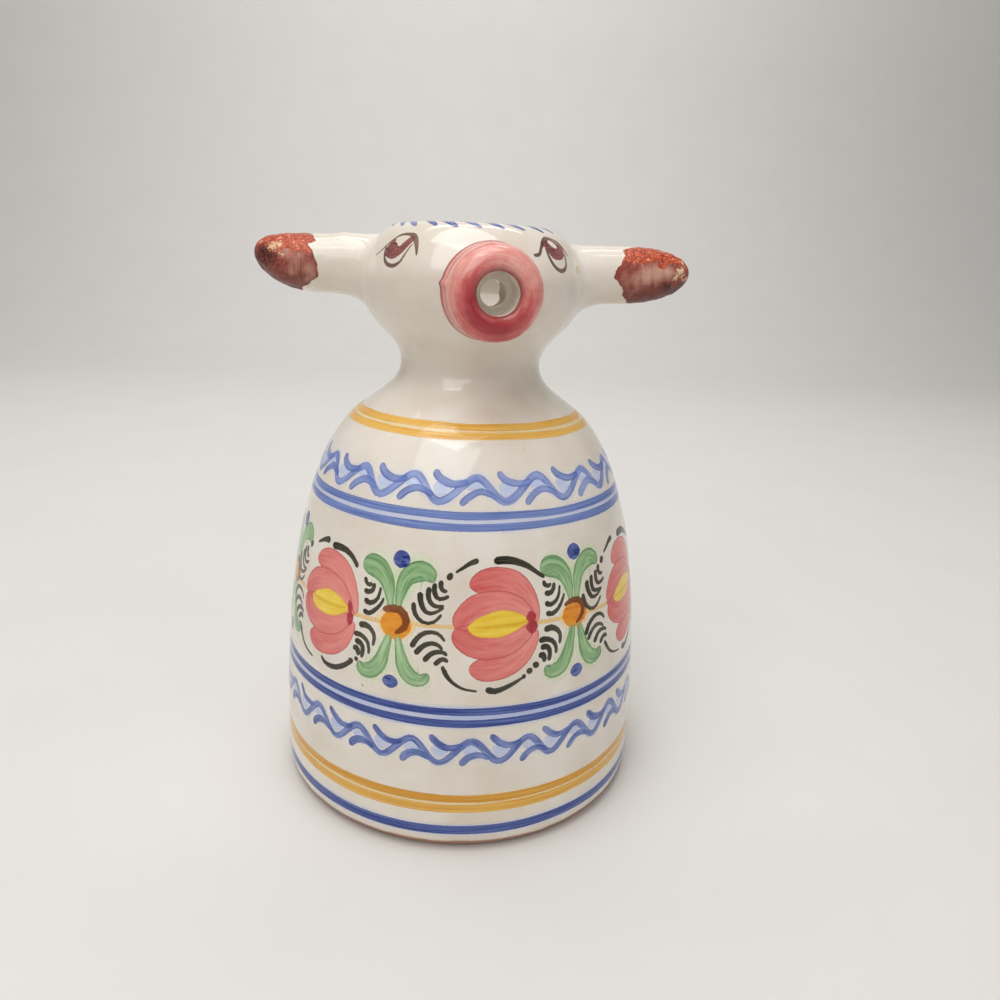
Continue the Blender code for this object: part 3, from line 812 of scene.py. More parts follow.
# wave bands: one long wave, with a hook into each rise and a tail under each crest
cobaltWave = {"name": "cobalt brush stroke in tin glaze", "thin": "#7891D6", "full": "#21408E",
              "rim": "#24408A", "rimMm": 0.6, "rimShare": 0.8, "streak": (7, 0.6), "contrast": 0.42,
              "ragged": 0.22, "soft": 0.25, "cover": (0.64, 0.93)}
waveBleed = {"name": "cobalt haze in tin glaze", "thin": "#BECCF0", "full": "#A5B9E8", "rimShare": 0.2,
             "streak": (9, 3), "soft": 2.6, "cover": (0.5, 0.85)}
waves = {
    "upperWave": {
        "radius": 41.5, "troughs": [-51.5, -30.5, -9, 13.3, 35.3, 57], "count": 17, "low": 94.1, "high": 99.8,
        "rise": 0.56, "width": 1.85, "load": 0.34, "seed": 11,
        "hook": [(-2.5, 101.2, 1.7), (-1.4, 100.1, 1.8), (0.2, 99.1, 1.8), (3.5, 98.3, 1.7), (6.8, 98.3, 1.5),
                 (9.6, 98.9, 1.2)],
        "tail": [(7.2, 93.3, 1.7), (8.4, 94.4, 1.8), (10.2, 95.6, 1.8), (13.5, 96.7, 1.7), (16.8, 96.2, 1.5),
                 (19.3, 95.1, 1.2)],
        "washes": [
            [(-2.8, 98, 2.2), (0.6, 97, 3.4), (4.4, 97, 2.2)],
            [(8.8, 97.2, 1.8), (12.2, 98.1, 2.6), (15.8, 97.6, 1.8)],
        ],
    },
    "lowerWave": {
        "radius": 54.3, "troughs": [-53.8, -37.8, -21.8, -5.5, 11.2, 26.5, 42.6, 58.5], "count": 22,
        "low": 27.6, "high": 33.8, "rise": 0.53, "width": 1.9, "load": 0.62, "seed": 12,
        "hook": [(-2.6, 35.5, 1.5), (-1.6, 34.3, 1.9), (0, 32.9, 2), (2.2, 32.1, 1.9), (4.4, 32.2, 1.6),
                 (6.2, 33, 1.2)],
        "tail": [(5.8, 26.7, 1.8), (6.8, 28.2, 2), (8.3, 29.4, 2), (10.4, 29.9, 1.9), (12.3, 29.4, 1.6),
                 (13.8, 28.4, 1.2)],
        "washes": [
            [(-2.2, 32.2, 2.4), (0.3, 31, 3.8), (2.8, 30.8, 2.2)],
            [(6.4, 30.6, 2.2), (8.6, 31.5, 3), (11, 31, 2.2)],
        ],
    },
}
waveForm = {"lift": 0.036, "hookLift": 0.046, "tailLift": 0.054, "hazeDrop": 0.016, "hazeWider": 2.4,
            "hazeLoad": 0.3, "washWider": 3.0, "washLift": 0.016, "washLoad": 0.6, "waveRows": 22,
            "strokeRows": 18, "troughStray": (-0.2, 0.2), "troughWidths": (0.9, 1.08),
            "crestStray": (-0.25, 0.2), "crestWidths": (0.92, 1.08), "byHand": (0.22, 0.1),
            "loads": (-0.1, 0.2)}


def addWave(name, look, material, bleed):
    form = waveForm
    rng = random.Random(look["seed"])
    mmPerDegree = math.radians(look["radius"])
    troughs = spread(look["troughs"], look["count"])
    # the long wave starts and ends at the back
    cut = min(range(len(troughs)), key=lambda i: abs(troughs[i] - 180))
    circuit = troughs[cut:] + [a + 360 for a in troughs[:cut + 1]]
    line = []
    for here, there in zip(circuit, circuit[1:]):
        crest = here + (there - here) * look["rise"]
        for kind, angle, height in (("trough", here, look["low"]), ("crest", crest, look["high"])):
            height += rng.uniform(*form[kind + "Stray"])
            line.append((angle * mmPerDegree, height, look["width"] * rng.uniform(*form[kind + "Widths"])))
    line.append((circuit[-1] * mmPerDegree, look["low"], look["width"]))
    strokes = [(line, form["lift"], look["load"], len(troughs) * form["waveRows"])]
    for kind in ("hook", "tail"):
        for trough in troughs:
            marks = [((trough + a) * mmPerDegree, z, w) for a, z, w in look[kind]]
            marks = byHand(marks, rng, *form["byHand"])
            load = look["load"] + rng.uniform(*form["loads"])
            strokes.append((marks, form[kind + "Lift"], load, form["strokeRows"]))
    place = wallPlace(0, 0, look["radius"])
    bm, haze = newPaint(), newPaint()
    for marks, lift, load, rows in strokes:
        brushStroke(bm, marks, place, lift, load, along=rows)
        wider = [(x, y, w + form["hazeWider"]) for x, y, w in marks]
        brushStroke(haze, wider, place, lift - form["hazeDrop"], form["hazeLoad"], along=rows)
    for trough in troughs:
        for wash in look["washes"]:  # the haze gathers where strokes close in on it
            marks = [((trough + a) * mmPerDegree, z, w + form["washWider"]) for a, z, w in wash]
            brushStroke(haze, marks, place, form["washLift"], form["washLoad"])
    addPaint(haze, name + "Bleed", bleed)
    return addPaint(bm, name, material)


waveBlue, waveHaze = paintFilm(cobaltWave), paintFilm(waveBleed)
for waveName, waveLook in waves.items():
    addWave(waveName, waveLook, waveBlue, waveHaze)
print("waves painted")


# rim: short slanting strokes all round the crest
rim = {"count": 26, "first": 6.9, "radius": 23.5, "seed": 21, "lift": 0.036, "load": 0.7,
       "angleStray": 0.08, "byHand": (0.2, 0.12), "loads": (-0.15, 0.25),
       "stroke": [(-4.4, 2.9, 1.2), (-1.6, 1.0, 1.9), (1.4, -1.1, 1.9), (4.0, -3.4, 0.8)]}


def addRim(material):
    rng = random.Random(rim["seed"])
    bm = newPaint()
    for i in range(rim["count"]):
        stray = rng.uniform(-rim["angleStray"], rim["angleStray"])
        middle = math.radians(rim["first"] + 360 * (i + stray) / rim["count"])
        brushStroke(bm, byHand(rim["stroke"], rng, *rim["byHand"]),
                    lambda x, y: (middle + x / rim["radius"], outsideReach[-1] + y),
                    rim["lift"], rim["load"] + rng.uniform(*rim["loads"]))
    return addPaint(bm, "rimStrokes", material)


addRim(waveBlue)
print("rim painted")


# flower band, in millimetres from the middle of each flower: (x, y, width) along every stroke
flower = {
    "angles": [-44.8, 9.5, 62.3], "drops": [1, 0, 0.6], "clearest": 1, "bold": 1.45, "count": 7, "height": 64,
    "radius": 52, "seed": 31, "pressed": (1.08, 0.05), "bleedWider": 4.4, "byHand": (0.28, 0.09),
    "loads": (-0.12, 0.12), "grid": (12, 4),
    "strays": {(0, "dots"): (-0.7, 0.1), (0, "leaves"): (-0.5, 0.3), (0, "bleeds"): (-0.5, 0.3)},
    "own": {  # strokes that one flower has in a place of their own
        (0, "combs", 0): [(-8.4, 14.5, 0.6), (-5.6, 15.8, 1.1), (-3.6, 16.4, 1.7), (-2.2, 16.2, 2)],
        (0, "combs", 2): [(-0.9, 15.6, 1.9), (2.3, 15.9, 1.8), (5.3, 15.7, 1.6), (7.7, 14.7, 1.4),
                          (9.3, 13.5, 1.3), (10.3, 12.3, 1.6)],
        (0, "combs", 14): [(-0.5, -14.5, 0.8), (1.5, -16, 1.3), (5.4, -15.8, 1.5), (8.9, -13.9, 1.4),
                           (11.6, -11.5, 1.2)],
        (0, "combs", 15): [(10.4, -12.8, 1.7), (11.2, -11.4, 1.7)],
        (0, "combs", 16): [(12.2, -10.5, 1.4), (12.9, -11.7, 1.4)],
        (0, "combs", 17): [(12.4, -8.8, 1.5), (13.3, -9.4, 1.5)],
        (0, "throats", 0): [(8.7, 3.6, 0.8), (9.2, 2.2, 1.9), (9.3, 0.4, 2)],
        (0, "throats", 1): [(9.4, 0.9, 1.7), (9.6, -0.8, 2.6), (9.3, -3, 1.2)],
    },
    "petals": [
        [(-10.8, 0.1, 2.6), (-8.6, 0.2, 3.4), (-5, 0.4, 3.2), (-1, 0.5, 3), (4, 0.6, 3), (8.4, 0.7, 3.6),
         (10.8, 0.5, 2.2)],
        [(-7.2, 10.7, 3.2), (-3.1, 11.5, 6.4), (1, 11.7, 6.8), (5, 10.5, 6.7), (8, 7.8, 5.4),
         (10.2, 4.2, 3.4), (11, 0.5, 1.6)],
        [(-6.8, -10.3, 3.9), (-3.1, -10.5, 6.4), (0.5, -10.2, 6.7), (4.1, -9.1, 6.3), (7.2, -7.1, 5.1),
         (9.5, -4.4, 3.6), (10.9, -1.3, 1.8)],
        [(-10.5, 0.2, 2.2), (-8.9, 2.6, 4.8), (-5.2, 4.8, 7.4), (-0.4, 5.5, 7.8), (3.8, 5.1, 6.9),
         (7.3, 3.5, 4.9), (9.6, 1.4, 2.8)],
        [(-10.6, -0.2, 2.4), (-8.8, -2.5, 5.2), (-5.2, -4, 7.2), (-0.4, -4.3, 7.5), (4, -3.5, 6.4),
         (7.8, -1.9, 4.2), (9.6, -0.5, 2.4)],
    ],
    "hearts": [[(-7.4, 0.5, 1.2), (-5.7, 0.2, 4), (-2.6, 0.5, 6), (1.4, 1.1, 6.9), (5.5, 1.4, 4.7),
                (9, 1.3, 0.6)]],
    "veins": [[(-6.8, 0.3, 0.8), (-1, 0.3, 1.2), (4, 0.6, 1.3), (8.4, 1, 0.8)]],
    "throats": [
        [(9, 3.7, 1.4), (9.3, 2.3, 3.1), (9.3, 0.6, 3)],
        [(9.4, 1.3, 2.8), (9.6, -0.4, 3.7), (9.5, -2.4, 2)],
    ],
    "combs": [
        [(-10.9, 13.7, 0.5), (-8.6, 15.1, 0.8), (-6.8, 16.1, 1.1), (-4.7, 16.8, 1.4)],
        [(-12.9, 11.9, 1.4), (-11.7, 13.6, 1.4)],
        [(-0.8, 16.5, 1.7), (2.3, 16.7, 1.8), (5.5, 16.2, 1.6), (8.7, 14.9, 1.3), (11, 13.3, 1),
         (13.7, 11.5, 0.9)],
        [(-21.5, 5.8, 1.2), (-21.1, 3.3, 1.1), (-19.7, 1.5, 0.9), (-17.7, 0.8, 0.8), (-15.6, 1.5, 0.7),
         (-14, 3.4, 0.6)],
        [(-19.9, 8.5, 1.6), (-19.7, 6.5, 1.4), (-19, 4.6, 1.2), (-17.7, 3.4, 1), (-15.9, 3.6, 0.8),
         (-13.4, 5.1, 0.6)],
        [(-17.5, 9.9, 1.4), (-17.7, 7.8, 1.2), (-17, 6, 1.1), (-15.4, 5.2, 0.9), (-13.4, 5.5, 0.7)],
        [(-16.1, 11, 1.3), (-16.2, 9.2, 1.2), (-15.6, 7.6, 1.1), (-14.3, 7.1, 0.9), (-12.2, 8, 0.8)],
        [(-14.3, 11.7, 1.4), (-14.6, 10.5, 1.2), (-14, 9.3, 1), (-12.7, 9.1, 0.8)],
        [(-21.5, -5.8, 1.4), (-20.2, -3.5, 1.2), (-18.4, -1.8, 1.1), (-16.3, -1.3, 0.9), (-14.3, -1.8, 0.8),
         (-12.9, -3.5, 0.6)],
        [(-20.4, -7.4, 1.4), (-18.8, -5.4, 1.2), (-16.8, -4.2, 1.1), (-14.7, -4.4, 0.9), (-13.4, -5.6, 0.7)],
        [(-18.1, -9, 1.3), (-16.5, -7, 1.2), (-14.7, -6.2, 1.1), (-13.1, -6.3, 0.9), (-12.2, -7.1, 0.8)],
        [(-15.4, -9.7, 1.2), (-14, -8.3, 1.1), (-12.9, -8, 1), (-12, -8.8, 0.9)],
        [(-13.7, -10.4, 1.6), (-12.6, -10.4, 1.6)],
        [(-13.1, -10.4, 1.2), (-12, -12.6, 1), (-10.4, -14.2, 0.8), (-8.1, -15.6, 0.6), (-4.5, -16.3, 0.5)],
        [(-2.5, -15.6, 1.7), (-0.4, -16.5, 1.5), (2.3, -15.8, 1.2), (5, -14.6, 0.9), (7.1, -13.5, 0.6)],
        [(7.1, -14, 1), (7.5, -12.6, 1)],
        [(8, -11.7, 1.6), (9.7, -12.3, 1.6)],
        [(9.8, -10.1, 1.6), (11.4, -11.3, 1.6)],
        [(11.4, -8.8, 1.6), (12.5, -8.3, 1.5), (13, -9.5, 1.3), (12.8, -10.4, 1.2)],
        [(11.9, -6.5, 1.6), (13.5, -6.3, 1.4), (14.6, -7.6, 1.2), (14.4, -10.4, 1)],
        [(11.4, -4.5, 1.6), (13.7, -4.4, 1.3), (15.7, -5.4, 1.1), (16.6, -7.2, 0.9), (16.4, -8.8, 0.7)],
        [(13, -2, 1.7), (15, -1.6, 1.5), (16.9, -2.4, 1.2), (17.9, -4, 1), (17.7, -6.5, 0.7)],
        [(13.1, 10.8, 1.1), (13.7, 9.6, 1), (14.8, 9.3, 1), (15.5, 9.9, 0.9)],
        [(13.5, 7.9, 1.5), (14.6, 7.3, 1.3), (16, 8, 1.2), (16.5, 9.9, 1)],
        [(13.5, 5.3, 1.4), (14.8, 4.4, 1.2), (16.6, 4.9, 1), (17.8, 6.5, 0.8), (18.2, 9, 0.6)],
        [(13.7, 2.6, 1.4), (15.3, 1.9, 1.2), (17.3, 2.8, 1), (18.9, 4.9, 0.8), (19.6, 6.7, 0.6)],
    ],
    "leaves": [
        [(22, 3, 1), (21.5, 7.4, 2.7), (20.3, 11, 4.4), (18, 13.3, 5.5), (15.3, 14, 5.6), (12.4, 13.2, 4.4)],
        [(23.9, 3, 1), (24.3, 7.4, 2.6), (25.2, 11, 4), (27.2, 13.1, 4.8), (29.8, 14, 4.9), (32, 13.1, 3.8),
         (33, 11.5, 2.2)],
        [(22.4, -1.8, 1.6), (21, -6.8, 3), (19.8, -10.2, 4), (17.8, -12.8, 4.3), (15, -13.2, 3.9),
         (13.3, -11.5, 1.8)],
        [(24.2, -1.8, 1.4), (25.4, -6.8, 2.9), (26.5, -10.2, 4), (28.5, -12.8, 4.4), (31.2, -13.1, 3.6),
         (32.8, -11.3, 1.8)],
    ],
    "rounds": [[(18.8, 0.5, 7.5), (27.5, 0.5, 7.5)]],
    "halos": [[(17.4, 0.4, 10.3), (28.9, 0.4, 10.3)]],
    "crescents": [[(19.4, 3.3, 1.1), (21.7, 4.1, 1.5), (24, 4.1, 1.7), (25.7, 2.9, 1.7), (26.1, 0.9, 1.6),
                   (25, -0.9, 1.2), (23.2, -2.2, 0.7)]],
    "dots": [
        [(21.6, 16.6, 4.3), (26.6, 16.4, 4.3)],
        [(21.1, -15, 3.9), (25.4, -15.1, 3.9)],
    ],
    "stems": [
        [(-23.5, 0.3, 1.2), (-9, 0.3, 1.3)],
        [(9.5, 0.3, 1.3), (21.5, 0.3, 1.2)],
    ],
}
flower["bleeds"] = [[(x, y, w + flower["bleedWider"]) for x, y, w in leaf] for leaf in flower["leaves"]]
# what each colour is: metal oxides in water, laid on the raw glaze with a full brush and fired into it
paints = {
    "stems": {"name": "pale antimony in tin glaze", "lift": 0.03, "load": 0.5, "thin": "#F0CB84",
              "full": "#E0A848", "rim": "#E3B05A", "rimMm": 0.4, "streak": (6, 0.4), "ragged": 0.3,
              "soft": 0.35, "cover": (0.65, 0.92)},
    "bleeds": {"name": "copper green bleed in tin glaze", "lift": 0.022, "load": 0.5, "thin": "#DCE8C2",
               "full": "#C2DAA2", "rimShare": 0.2, "streak": (6, 3), "soft": 2.6, "cover": (0.5, 0.85),
               "grid": (24, 8)},
    "leaves": {"name": "copper green in tin glaze", "lift": 0.036, "load": 0.36, "thin": "#AFD29B",
               "full": "#3E8044", "rim": "#29633C", "rimMm": 0.95, "rimShare": 0.85, "streak": (8, 0.9),
               "contrast": 0.4, "ragged": 0.25, "soft": 0.25, "cover": (0.8, 0.97), "grid": (24, 8),
               "fade": 0.2},
    "halos": {"name": "orange antimony bleed in tin glaze", "lift": 0.026, "load": 0.5, "thin": "#F6DCA4",
              "full": "#F2C77A", "rimShare": 0.2, "streak": (6, 3), "soft": 2.6, "cover": (0.6, 0.9),
              "grid": (24, 8), "round": True},
    "rounds": {"name": "orange antimony in tin glaze", "lift": 0.04, "load": 0.5, "thin": "#F3A31C",
               "full": "#D66D00", "rim": "#E8962A", "rimMm": 0.9, "rimShare": 0.5, "streak": (5, 0.9),
               "contrast": 0.45, "ragged": 0.35, "soft": 0.4, "cover": (0.92, 1), "grid": (24, 8),
               "round": True},
    "crescents": {"name": "iron brown in tin glaze", "lift": 0.052, "load": 0.6, "thin": "#96490F",
                  "full": "#5E2604", "rim": "#6B2F0C", "rimMm": 0.45, "rimShare": 0.5, "streak": (5, 0.4),
                  "contrast": 0.35, "ragged": 0.25, "soft": 0.25, "cover": (0.86, 1)},
    "dots": {"name": "thick cobalt in tin glaze", "lift": 0.036, "load": 0.58, "thin": "#667DC8",
             "full": "#1A2A72", "rim": "#22337F", "rimMm": 0.7, "rimShare": 0.6, "streak": (3, 0.9),
             "contrast": 0.5, "ragged": 0.3, "soft": 0.3, "round": True},
    "petals": {"name": "rose pink in tin glaze", "lift": 0.036, "load": 0.72, "thin": "#F39C92",
               "full": "#CE4F4C", "rim": "#A8393E", "rimMm": 0.65, "rimShare": 0.8, "streak": (10, 1),
               "contrast": 0.22, "ragged": 0.22, "soft": 0.22, "cover": (0.93, 1), "grid": (24, 8),
               "fade": -0.5, "layer": 0.006},
    "hearts": {"name": "yellow antimony in tin glaze", "lift": 0.078, "load": 0.4, "thin": "#F9E15C",
               "full": "#E8B61C", "rim": "#E39F30", "rimMm": 0.9, "rimShare": 0.6, "streak": (8, 0.9),
               "contrast": 0.35, "ragged": 0.3, "soft": 0.3, "cover": (0.97, 1), "grid": (24, 8)},
    "veins": {"name": "golden antimony in tin glaze", "lift": 0.104, "load": 0.55, "thin": "#E4B41C",
              "full": "#D0960A", "rim": "#DAA61E", "rimMm": 0.4, "rimShare": 0.2, "streak": (6, 0.4),
              "ragged": 0.12, "soft": 0.7, "cover": (0.5, 0.75)},
    "throats": {"name": "crimson in tin glaze", "lift": 0.104, "load": 0.6, "thin": "#C13B48",
                "full": "#97202F", "rim": "#9A2432", "rimShare": 0.4, "streak": (4, 0.5), "contrast": 0.4,
                "ragged": 0.35, "soft": 0.35, "cover": (0.88, 0.98)},
    "combs": {"name": "manganese black in tin glaze", "lift": 0.062, "load": 0.65, "thin": "#57523F",
              "full": "#0D0C09", "rim": "#0C0B08", "rimMm": 0.35, "rimShare": 0.8, "streak": (5, 0.35),
              "ragged": 0.22, "soft": 0.2, "cover": (0.98, 1), "fade": -0.35},
}


def addFlowers(kind, look):
    rng = random.Random(flower["seed"] + len(kind))
    bm = newPaint()
    rows, columns = look.get("grid", flower["grid"])
    pressed, fuller = flower["pressed"]
    for i, angle in enumerate(spread(flower["angles"], flower["count"])):
        drop = flower["drops"][i] if i < len(flower["drops"]) else 0
        place = wallPlace(angle, flower["height"] - drop, flower["radius"])
        right, high = flower["strays"].get((i, kind), (0, 0))
        for order, stroke in enumerate(flower[kind]):
            if kind == "combs":  # a full brush, pressed down
                stroke = [(x, y, w * pressed + fuller) for x, y, w in stroke]
            elif kind == "crescents" and i != flower["clearest"]:  # drawn bolder round most of the jug
                stroke = [(x, y, w * flower["bold"]) for x, y, w in stroke]
            marks = stroke if i == flower["clearest"] else byHand(stroke, rng, *flower["byHand"])
            marks = flower["own"].get((i, kind, order), marks)
            marks = [(x + right, y + high, w) for x, y, w in marks]
            length = sum(math.dist(a[:2], b[:2]) for a, b in zip(marks, marks[1:]))
            blunt = length / max(m[2] for m in marks) if look.get("round") else 1.0
            brushStroke(bm, marks, place, look["lift"] + look.get("layer", 0) * order,
                        look["load"] + rng.uniform(*flower["loads"]), along=rows, across=columns, blunt=blunt,
                        fade=look.get("fade", 0))
    return addPaint(bm, kind + "Paint", paintFilm(look))


for paintName, paintLook in paints.items():
    addFlowers(paintName, paintLook)
print("flower band painted")


# eyes: brown irises under one flowing lid line each, on the brow; (degrees, height, width) along every stroke
eyes = {
    "radius": 31, "finer": 0.12, "load": 0.7, "fade": -0.3, "grid": (36, 6),
    "lids": [
        [(-58.1, 151.32, 0.3), (-55.6, 152.03, 0.45), (-52.9, 153.14, 0.55), (-49.2, 154.81, 0.65),
         (-45.5, 156.08, 0.65), (-41.5, 156.53, 0.65), (-37.4, 156.52, 0.9), (-33.8, 156.06, 1.4),
         (-31.2, 154.95, 1.5), (-29.4, 153.43, 1.1), (-28.1, 151.41, 0.5)],
        [(-51.6, 153.65, 0.6), (-50.5, 152.28, 0.7), (-48.6, 150.61, 0.85), (-45.9, 149.4, 1),
         (-42.7, 148.9, 1.1), (-39.9, 149, 1.05), (-37, 149.9, 0.8), (-35.1, 151.77, 0.65),
         (-33.7, 153.28, 0.5), (-32.2, 154.29, 0.3)],
        [(30.6, 152.98, 0.7), (32.3, 152.78, 0.9), (34.8, 153.28, 0.9), (37.1, 154.65, 0.9),
         (40.1, 156.07, 1.1), (43.9, 156.99, 1.1), (48.2, 157.15, 0.6), (51.9, 156.8, 0.6), (54.9, 156, 1.1),
         (57, 154.83, 1), (58.3, 153.05, 0.5)],
        [(40.4, 154.85, 0.6), (40.5, 153.44, 0.95), (40.9, 152.12, 1.05), (42.1, 150.91, 1.1),
         (44.1, 149.91, 1.15), (47, 149.4, 1.15), (50.1, 149.76, 1), (52.5, 150.76, 0.85),
         (53.9, 152.03, 0.75), (55.5, 153.81, 0.6)],
    ],
    "irises": [
        [(-49.7, 152.94, 1.6), (-47.8, 152.58, 3.5), (-45.7, 152.68, 4.1), (-43.1, 152.17, 3.5),
         (-40.8, 152.32, 2.9), (-38.9, 152.83, 2.5), (-36.7, 154.14, 2.3), (-34.7, 155.15, 2),
         (-32.8, 155.66, 1.4)],
        [(-50.2, 152.53, 0.9), (-49, 153.65, 1.2), (-47.2, 154.66, 1.3), (-45.4, 155.06, 0.9)],
        [(38, 155.06, 0.5), (39.5, 155.56, 1.5), (41.4, 155.77, 1.9), (43.4, 155.77, 1.7)],
        [(40.6, 154.55, 1.8), (42.3, 154.55, 4), (44.1, 154.5, 4.8), (47.2, 154.46, 5), (50.6, 154.46, 4.5),
         (52.9, 154.52, 3.4), (55.9, 154.83, 1.2)],
    ],
    "glints": [[(44.4, 156.28, 1), (47.4, 155.78, 1.6), (50.6, 155.17, 1.2)]],
}
# lids drawn with a fine brush, thinner where it ran dry; irises red-brown with grain; one glint left white
eyePaints = {
    "irises": {"name": "iron red-brown in tin glaze", "lift": 0.036, "thin": "#A5524D", "full": "#511A1C",
               "rim": "#561F1F", "rimMm": 0.45, "rimShare": 0.5, "streak": (3, 0.4), "contrast": 0.45,
               "ragged": 0.18, "soft": 0.22, "cover": (0.85, 0.98)},
    "lids": {"name": "manganese brown in tin glaze", "lift": 0.046, "thin": "#84594D", "full": "#3F2521",
             "rim": "#462B27", "rimMm": 0.3, "rimShare": 0.4, "streak": (4, 0.3), "contrast": 0.35,
             "ragged": 0.15, "soft": 0.2, "cover": (0.8, 0.97)},
    "glints": {"name": "scratched-out white of the glaze", "lift": 0.054, "thin": "#E6DDD2",
               "full": "#EFE8DE", "rim": "#E0D2C6", "rimMm": 0.3, "streak": (3, 0.4), "ragged": 0.12,
               "soft": 0.2},
}


def addEyes(kind, look):
    bm = newPaint()
    radius = eyes["radius"]
    rows, columns = eyes["grid"]
    for stroke in eyes[kind]:
        marks = [(math.radians(a) * radius, z, w - eyes["finer"]) for a, z, w in stroke]
        brushStroke(bm, marks, wallPlace(0, 0, radius), look["lift"], eyes["load"], along=rows,
                    across=columns, fade=eyes["fade"])
    return addPaint(bm, kind + "Paint", paintFilm(look))


for eyeName, eyeLook in eyePaints.items():
    addEyes(eyeName, eyeLook)
print("eyes painted")


# flaws of a hand-dipped glaze: dull brown specks of iron and one faint smear of ochre
# seen: degrees, height, size; more: how many are strewn over the far side
flaws = {
    "ironSpecks": {"name": "iron speck in tin glaze", "seen": [(-28.4, 45.3, 0.9), (-45.8, 102.9, 0.35)],
                   "more": 16, "seed": 41, "lift": 0.11, "load": 0.5, "thin": "#C3A78C", "full": "#7E5A48",
                   "rim": "#B99A80", "rimMm": 0.3, "rimShare": 0.5, "streak": (0.6, 0.6), "contrast": 0.4,
                   "ragged": 0.25, "soft": 0.35, "cover": (0.45, 0.85), "gloss": 0.2},
    "ochreSmear": {"name": "ochre smear in tin glaze", "seen": [(65.2, 149.7, 2.9)], "more": 0, "seed": 42,
                   "lift": 0.11, "load": 0.5, "thin": "#E0D0A8", "full": "#C4A566", "rimMm": 0.3,
                   "streak": (1.2, 1.2), "contrast": 0.4, "ragged": 0.3, "soft": 0.4, "cover": (0.5, 0.8)},
}
strewn = {"turn": (75, 285), "height": (12, 156), "size": (0.2, 0.6), "lean": 0.4, "rows": 8}


def addFlaws(name, look):
    rng = random.Random(look["seed"])
    bm = newPaint()
    unseen = [[rng.uniform(*strewn[k]) for k in ("turn", "height", "size")] for i in range(look["more"])]
    for angle, height, size in look["seen"] + unseen:
        lean = rng.uniform(-strewn["lean"], strewn["lean"])
        shape = (-0.6, -lean, 0.5), (0, 0.1, 0.8), (0.6, lean, 0.4)
        marks = [(x * size, y * size, w * size) for x, y, w in shape]
        place = wallPlace(angle, height, potRadius(height))
        brushStroke(bm, marks, place, look["lift"], look["load"], along=strewn["rows"])
    return addPaint(bm, name, paintFilm(look))


for flawName, flawLook in flaws.items():
    addFlaws(flawName, flawLook)
print("specks in the glaze")


# stage: a pale sweep of matt paper, faintly uneven, plain soft light, and the photograph's camera
sweep = {"half": 2.2, "front": -2.0, "bend": 0.9, "curve": 0.6, "top": 2.4, "paper": "#E2DFDA",
         "paperDim": "#DCD9D4", "fibreMm": 60, "steps": 16}
lamps = {
    "keyBox": {"at": (-0.30, -0.58, 0.85), "aim": (0, 0, 0.08), "size": 0.7, "watts": 3.9},
    "fillBox": {"at": (0.60, -0.50, 0.60), "aim": (0, 0, 0.08), "size": 0.8, "watts": 0.9},
    "topBox": {"at": (-0.12, -0.10, 1.00), "aim": (0, 0, 0.08), "size": 0.55, "watts": 3.8},
    "backdropBox": {"at": (0.0, 0.55, 1.30), "aim": (0, 1.5, 0.55), "size": 0.9, "watts": 9.0},
}
room = {"Color": hexColour("#F4F5F7"), "Strength": 0.30}
view = {"at": (-9.09, -216.90, 147.95), "yaw": 5.11, "pitch": 16.88, "roll": 2.51, "lens": 26.74,
        "sensor": 36, "near": 0.01}


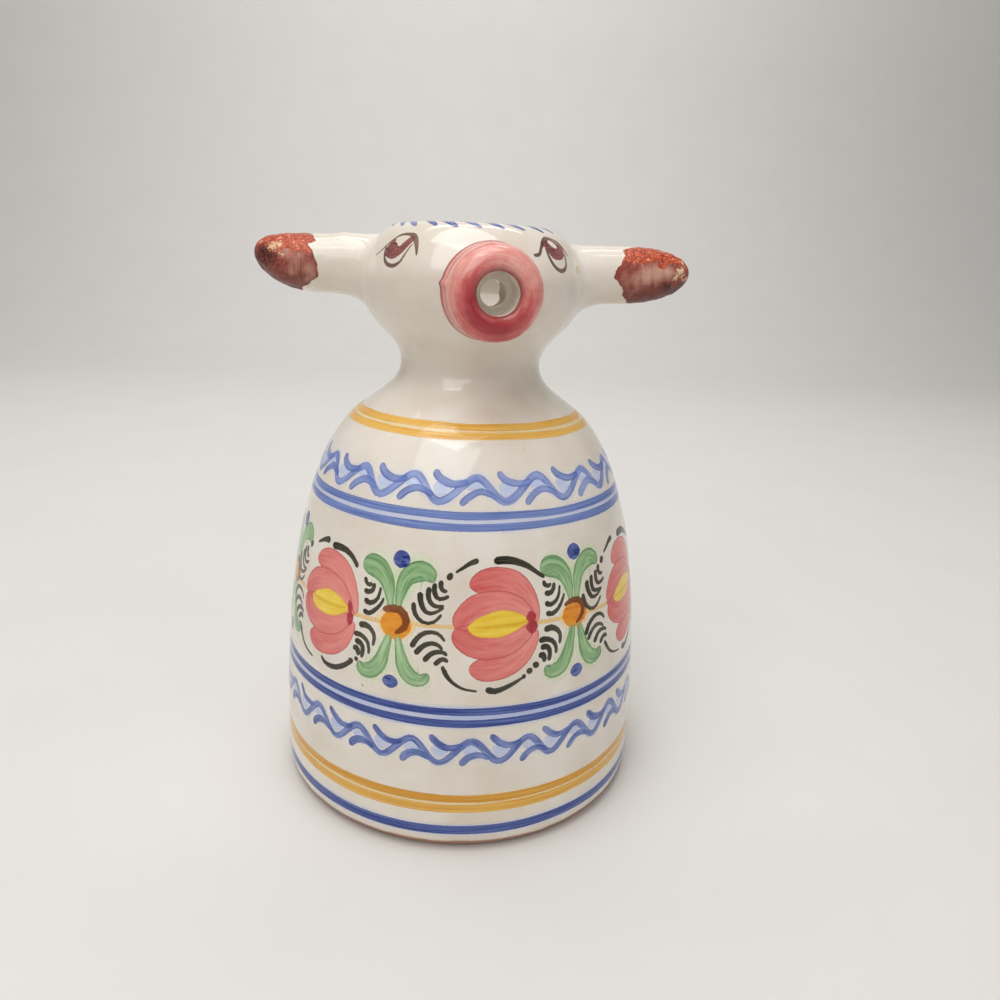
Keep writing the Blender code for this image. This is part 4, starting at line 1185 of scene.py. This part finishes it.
def addSweep():
    edge = -sweep["half"]
    curve = arc(Vector((sweep["bend"], 0, sweep["curve"])), sweep["curve"], -90, 0, sweep["steps"])
    bm = bmesh.new()
    threaded(bm, [(edge, sweep["front"], 0), *[(edge, p.x, p.z) for p in curve],
                  (edge, sweep["bend"] + sweep["curve"], sweep["top"])])
    made = bmesh.ops.extrude_edge_only(bm, edges=bm.edges[:])
    moved = [g for g in made["geom"] if isinstance(g, bmesh.types.BMVert)]
    bmesh.ops.translate(bm, verts=moved, vec=(2 * sweep["half"], 0, 0))
    bmesh.ops.recalc_face_normals(bm, faces=bm.faces)
    material, add = newMaterial("matt background paper", 0.9, ior=1.45)
    place = add("TexCoord", {}, "Object")
    fibre = add("TexNoise", {"Vector": place, "Scale": 1000 / sweep["fibreMm"], "Detail": 4})
    tone = add("Mix", {0: fibre, 6: sweep["paper"], 7: sweep["paperDim"]}, 2, data_type="RGBA")
    floor = newObject(bm, "paperSweep", joined(material, {"Base Color": tone}))


def addLamps():
    for name, look in lamps.items():
        lamp = bpy.data.lights.new(name, "AREA")
        lamp.shape = "SQUARE"
        lamp.size = look["size"]
        lamp.energy = look["watts"]
        box = bpy.data.objects.new(name, lamp)
        spot = Vector(look["at"])
        facing = (Vector(look["aim"]) - spot).to_track_quat("-Z", "Y")
        box.matrix_world = Matrix.Translation(spot) @ facing.to_matrix().to_4x4()
        scene.collection.objects.link(box)
    world = bpy.data.worlds.new("soft room")
    world.use_nodes = True
    for name, value in room.items():
        world.node_tree.nodes["Background"].inputs[name].default_value = value
    scene.world = world


def addCamera():
    yaw, pitch, roll = (math.radians(view[k]) for k in ("yaw", "pitch", "roll"))
    ahead = Vector((math.sin(yaw) * math.cos(pitch), math.cos(yaw) * math.cos(pitch), -math.sin(pitch)))
    level = Vector((math.cos(yaw), -math.sin(yaw), 0))
    high = level.cross(ahead)
    right = level * math.cos(roll) + high * math.sin(roll)
    top = high * math.cos(roll) - level * math.sin(roll)
    lens = bpy.data.cameras.new("photoCamera")
    lens.sensor_fit = "HORIZONTAL"
    lens.sensor_width = view["sensor"]
    lens.lens = view["lens"]
    lens.clip_start = view["near"]
    camera = bpy.data.objects.new("photoCamera", lens)
    facing = Matrix((right, top, -ahead)).transposed()
    camera.matrix_world = Matrix.Translation(Vector(view["at"]) * mm) @ facing.to_4x4()
    scene.collection.objects.link(camera)
    scene.camera = camera


addSweep()
addLamps()
addCamera()
scene.view_settings.view_transform = "Standard"
print("stage set")
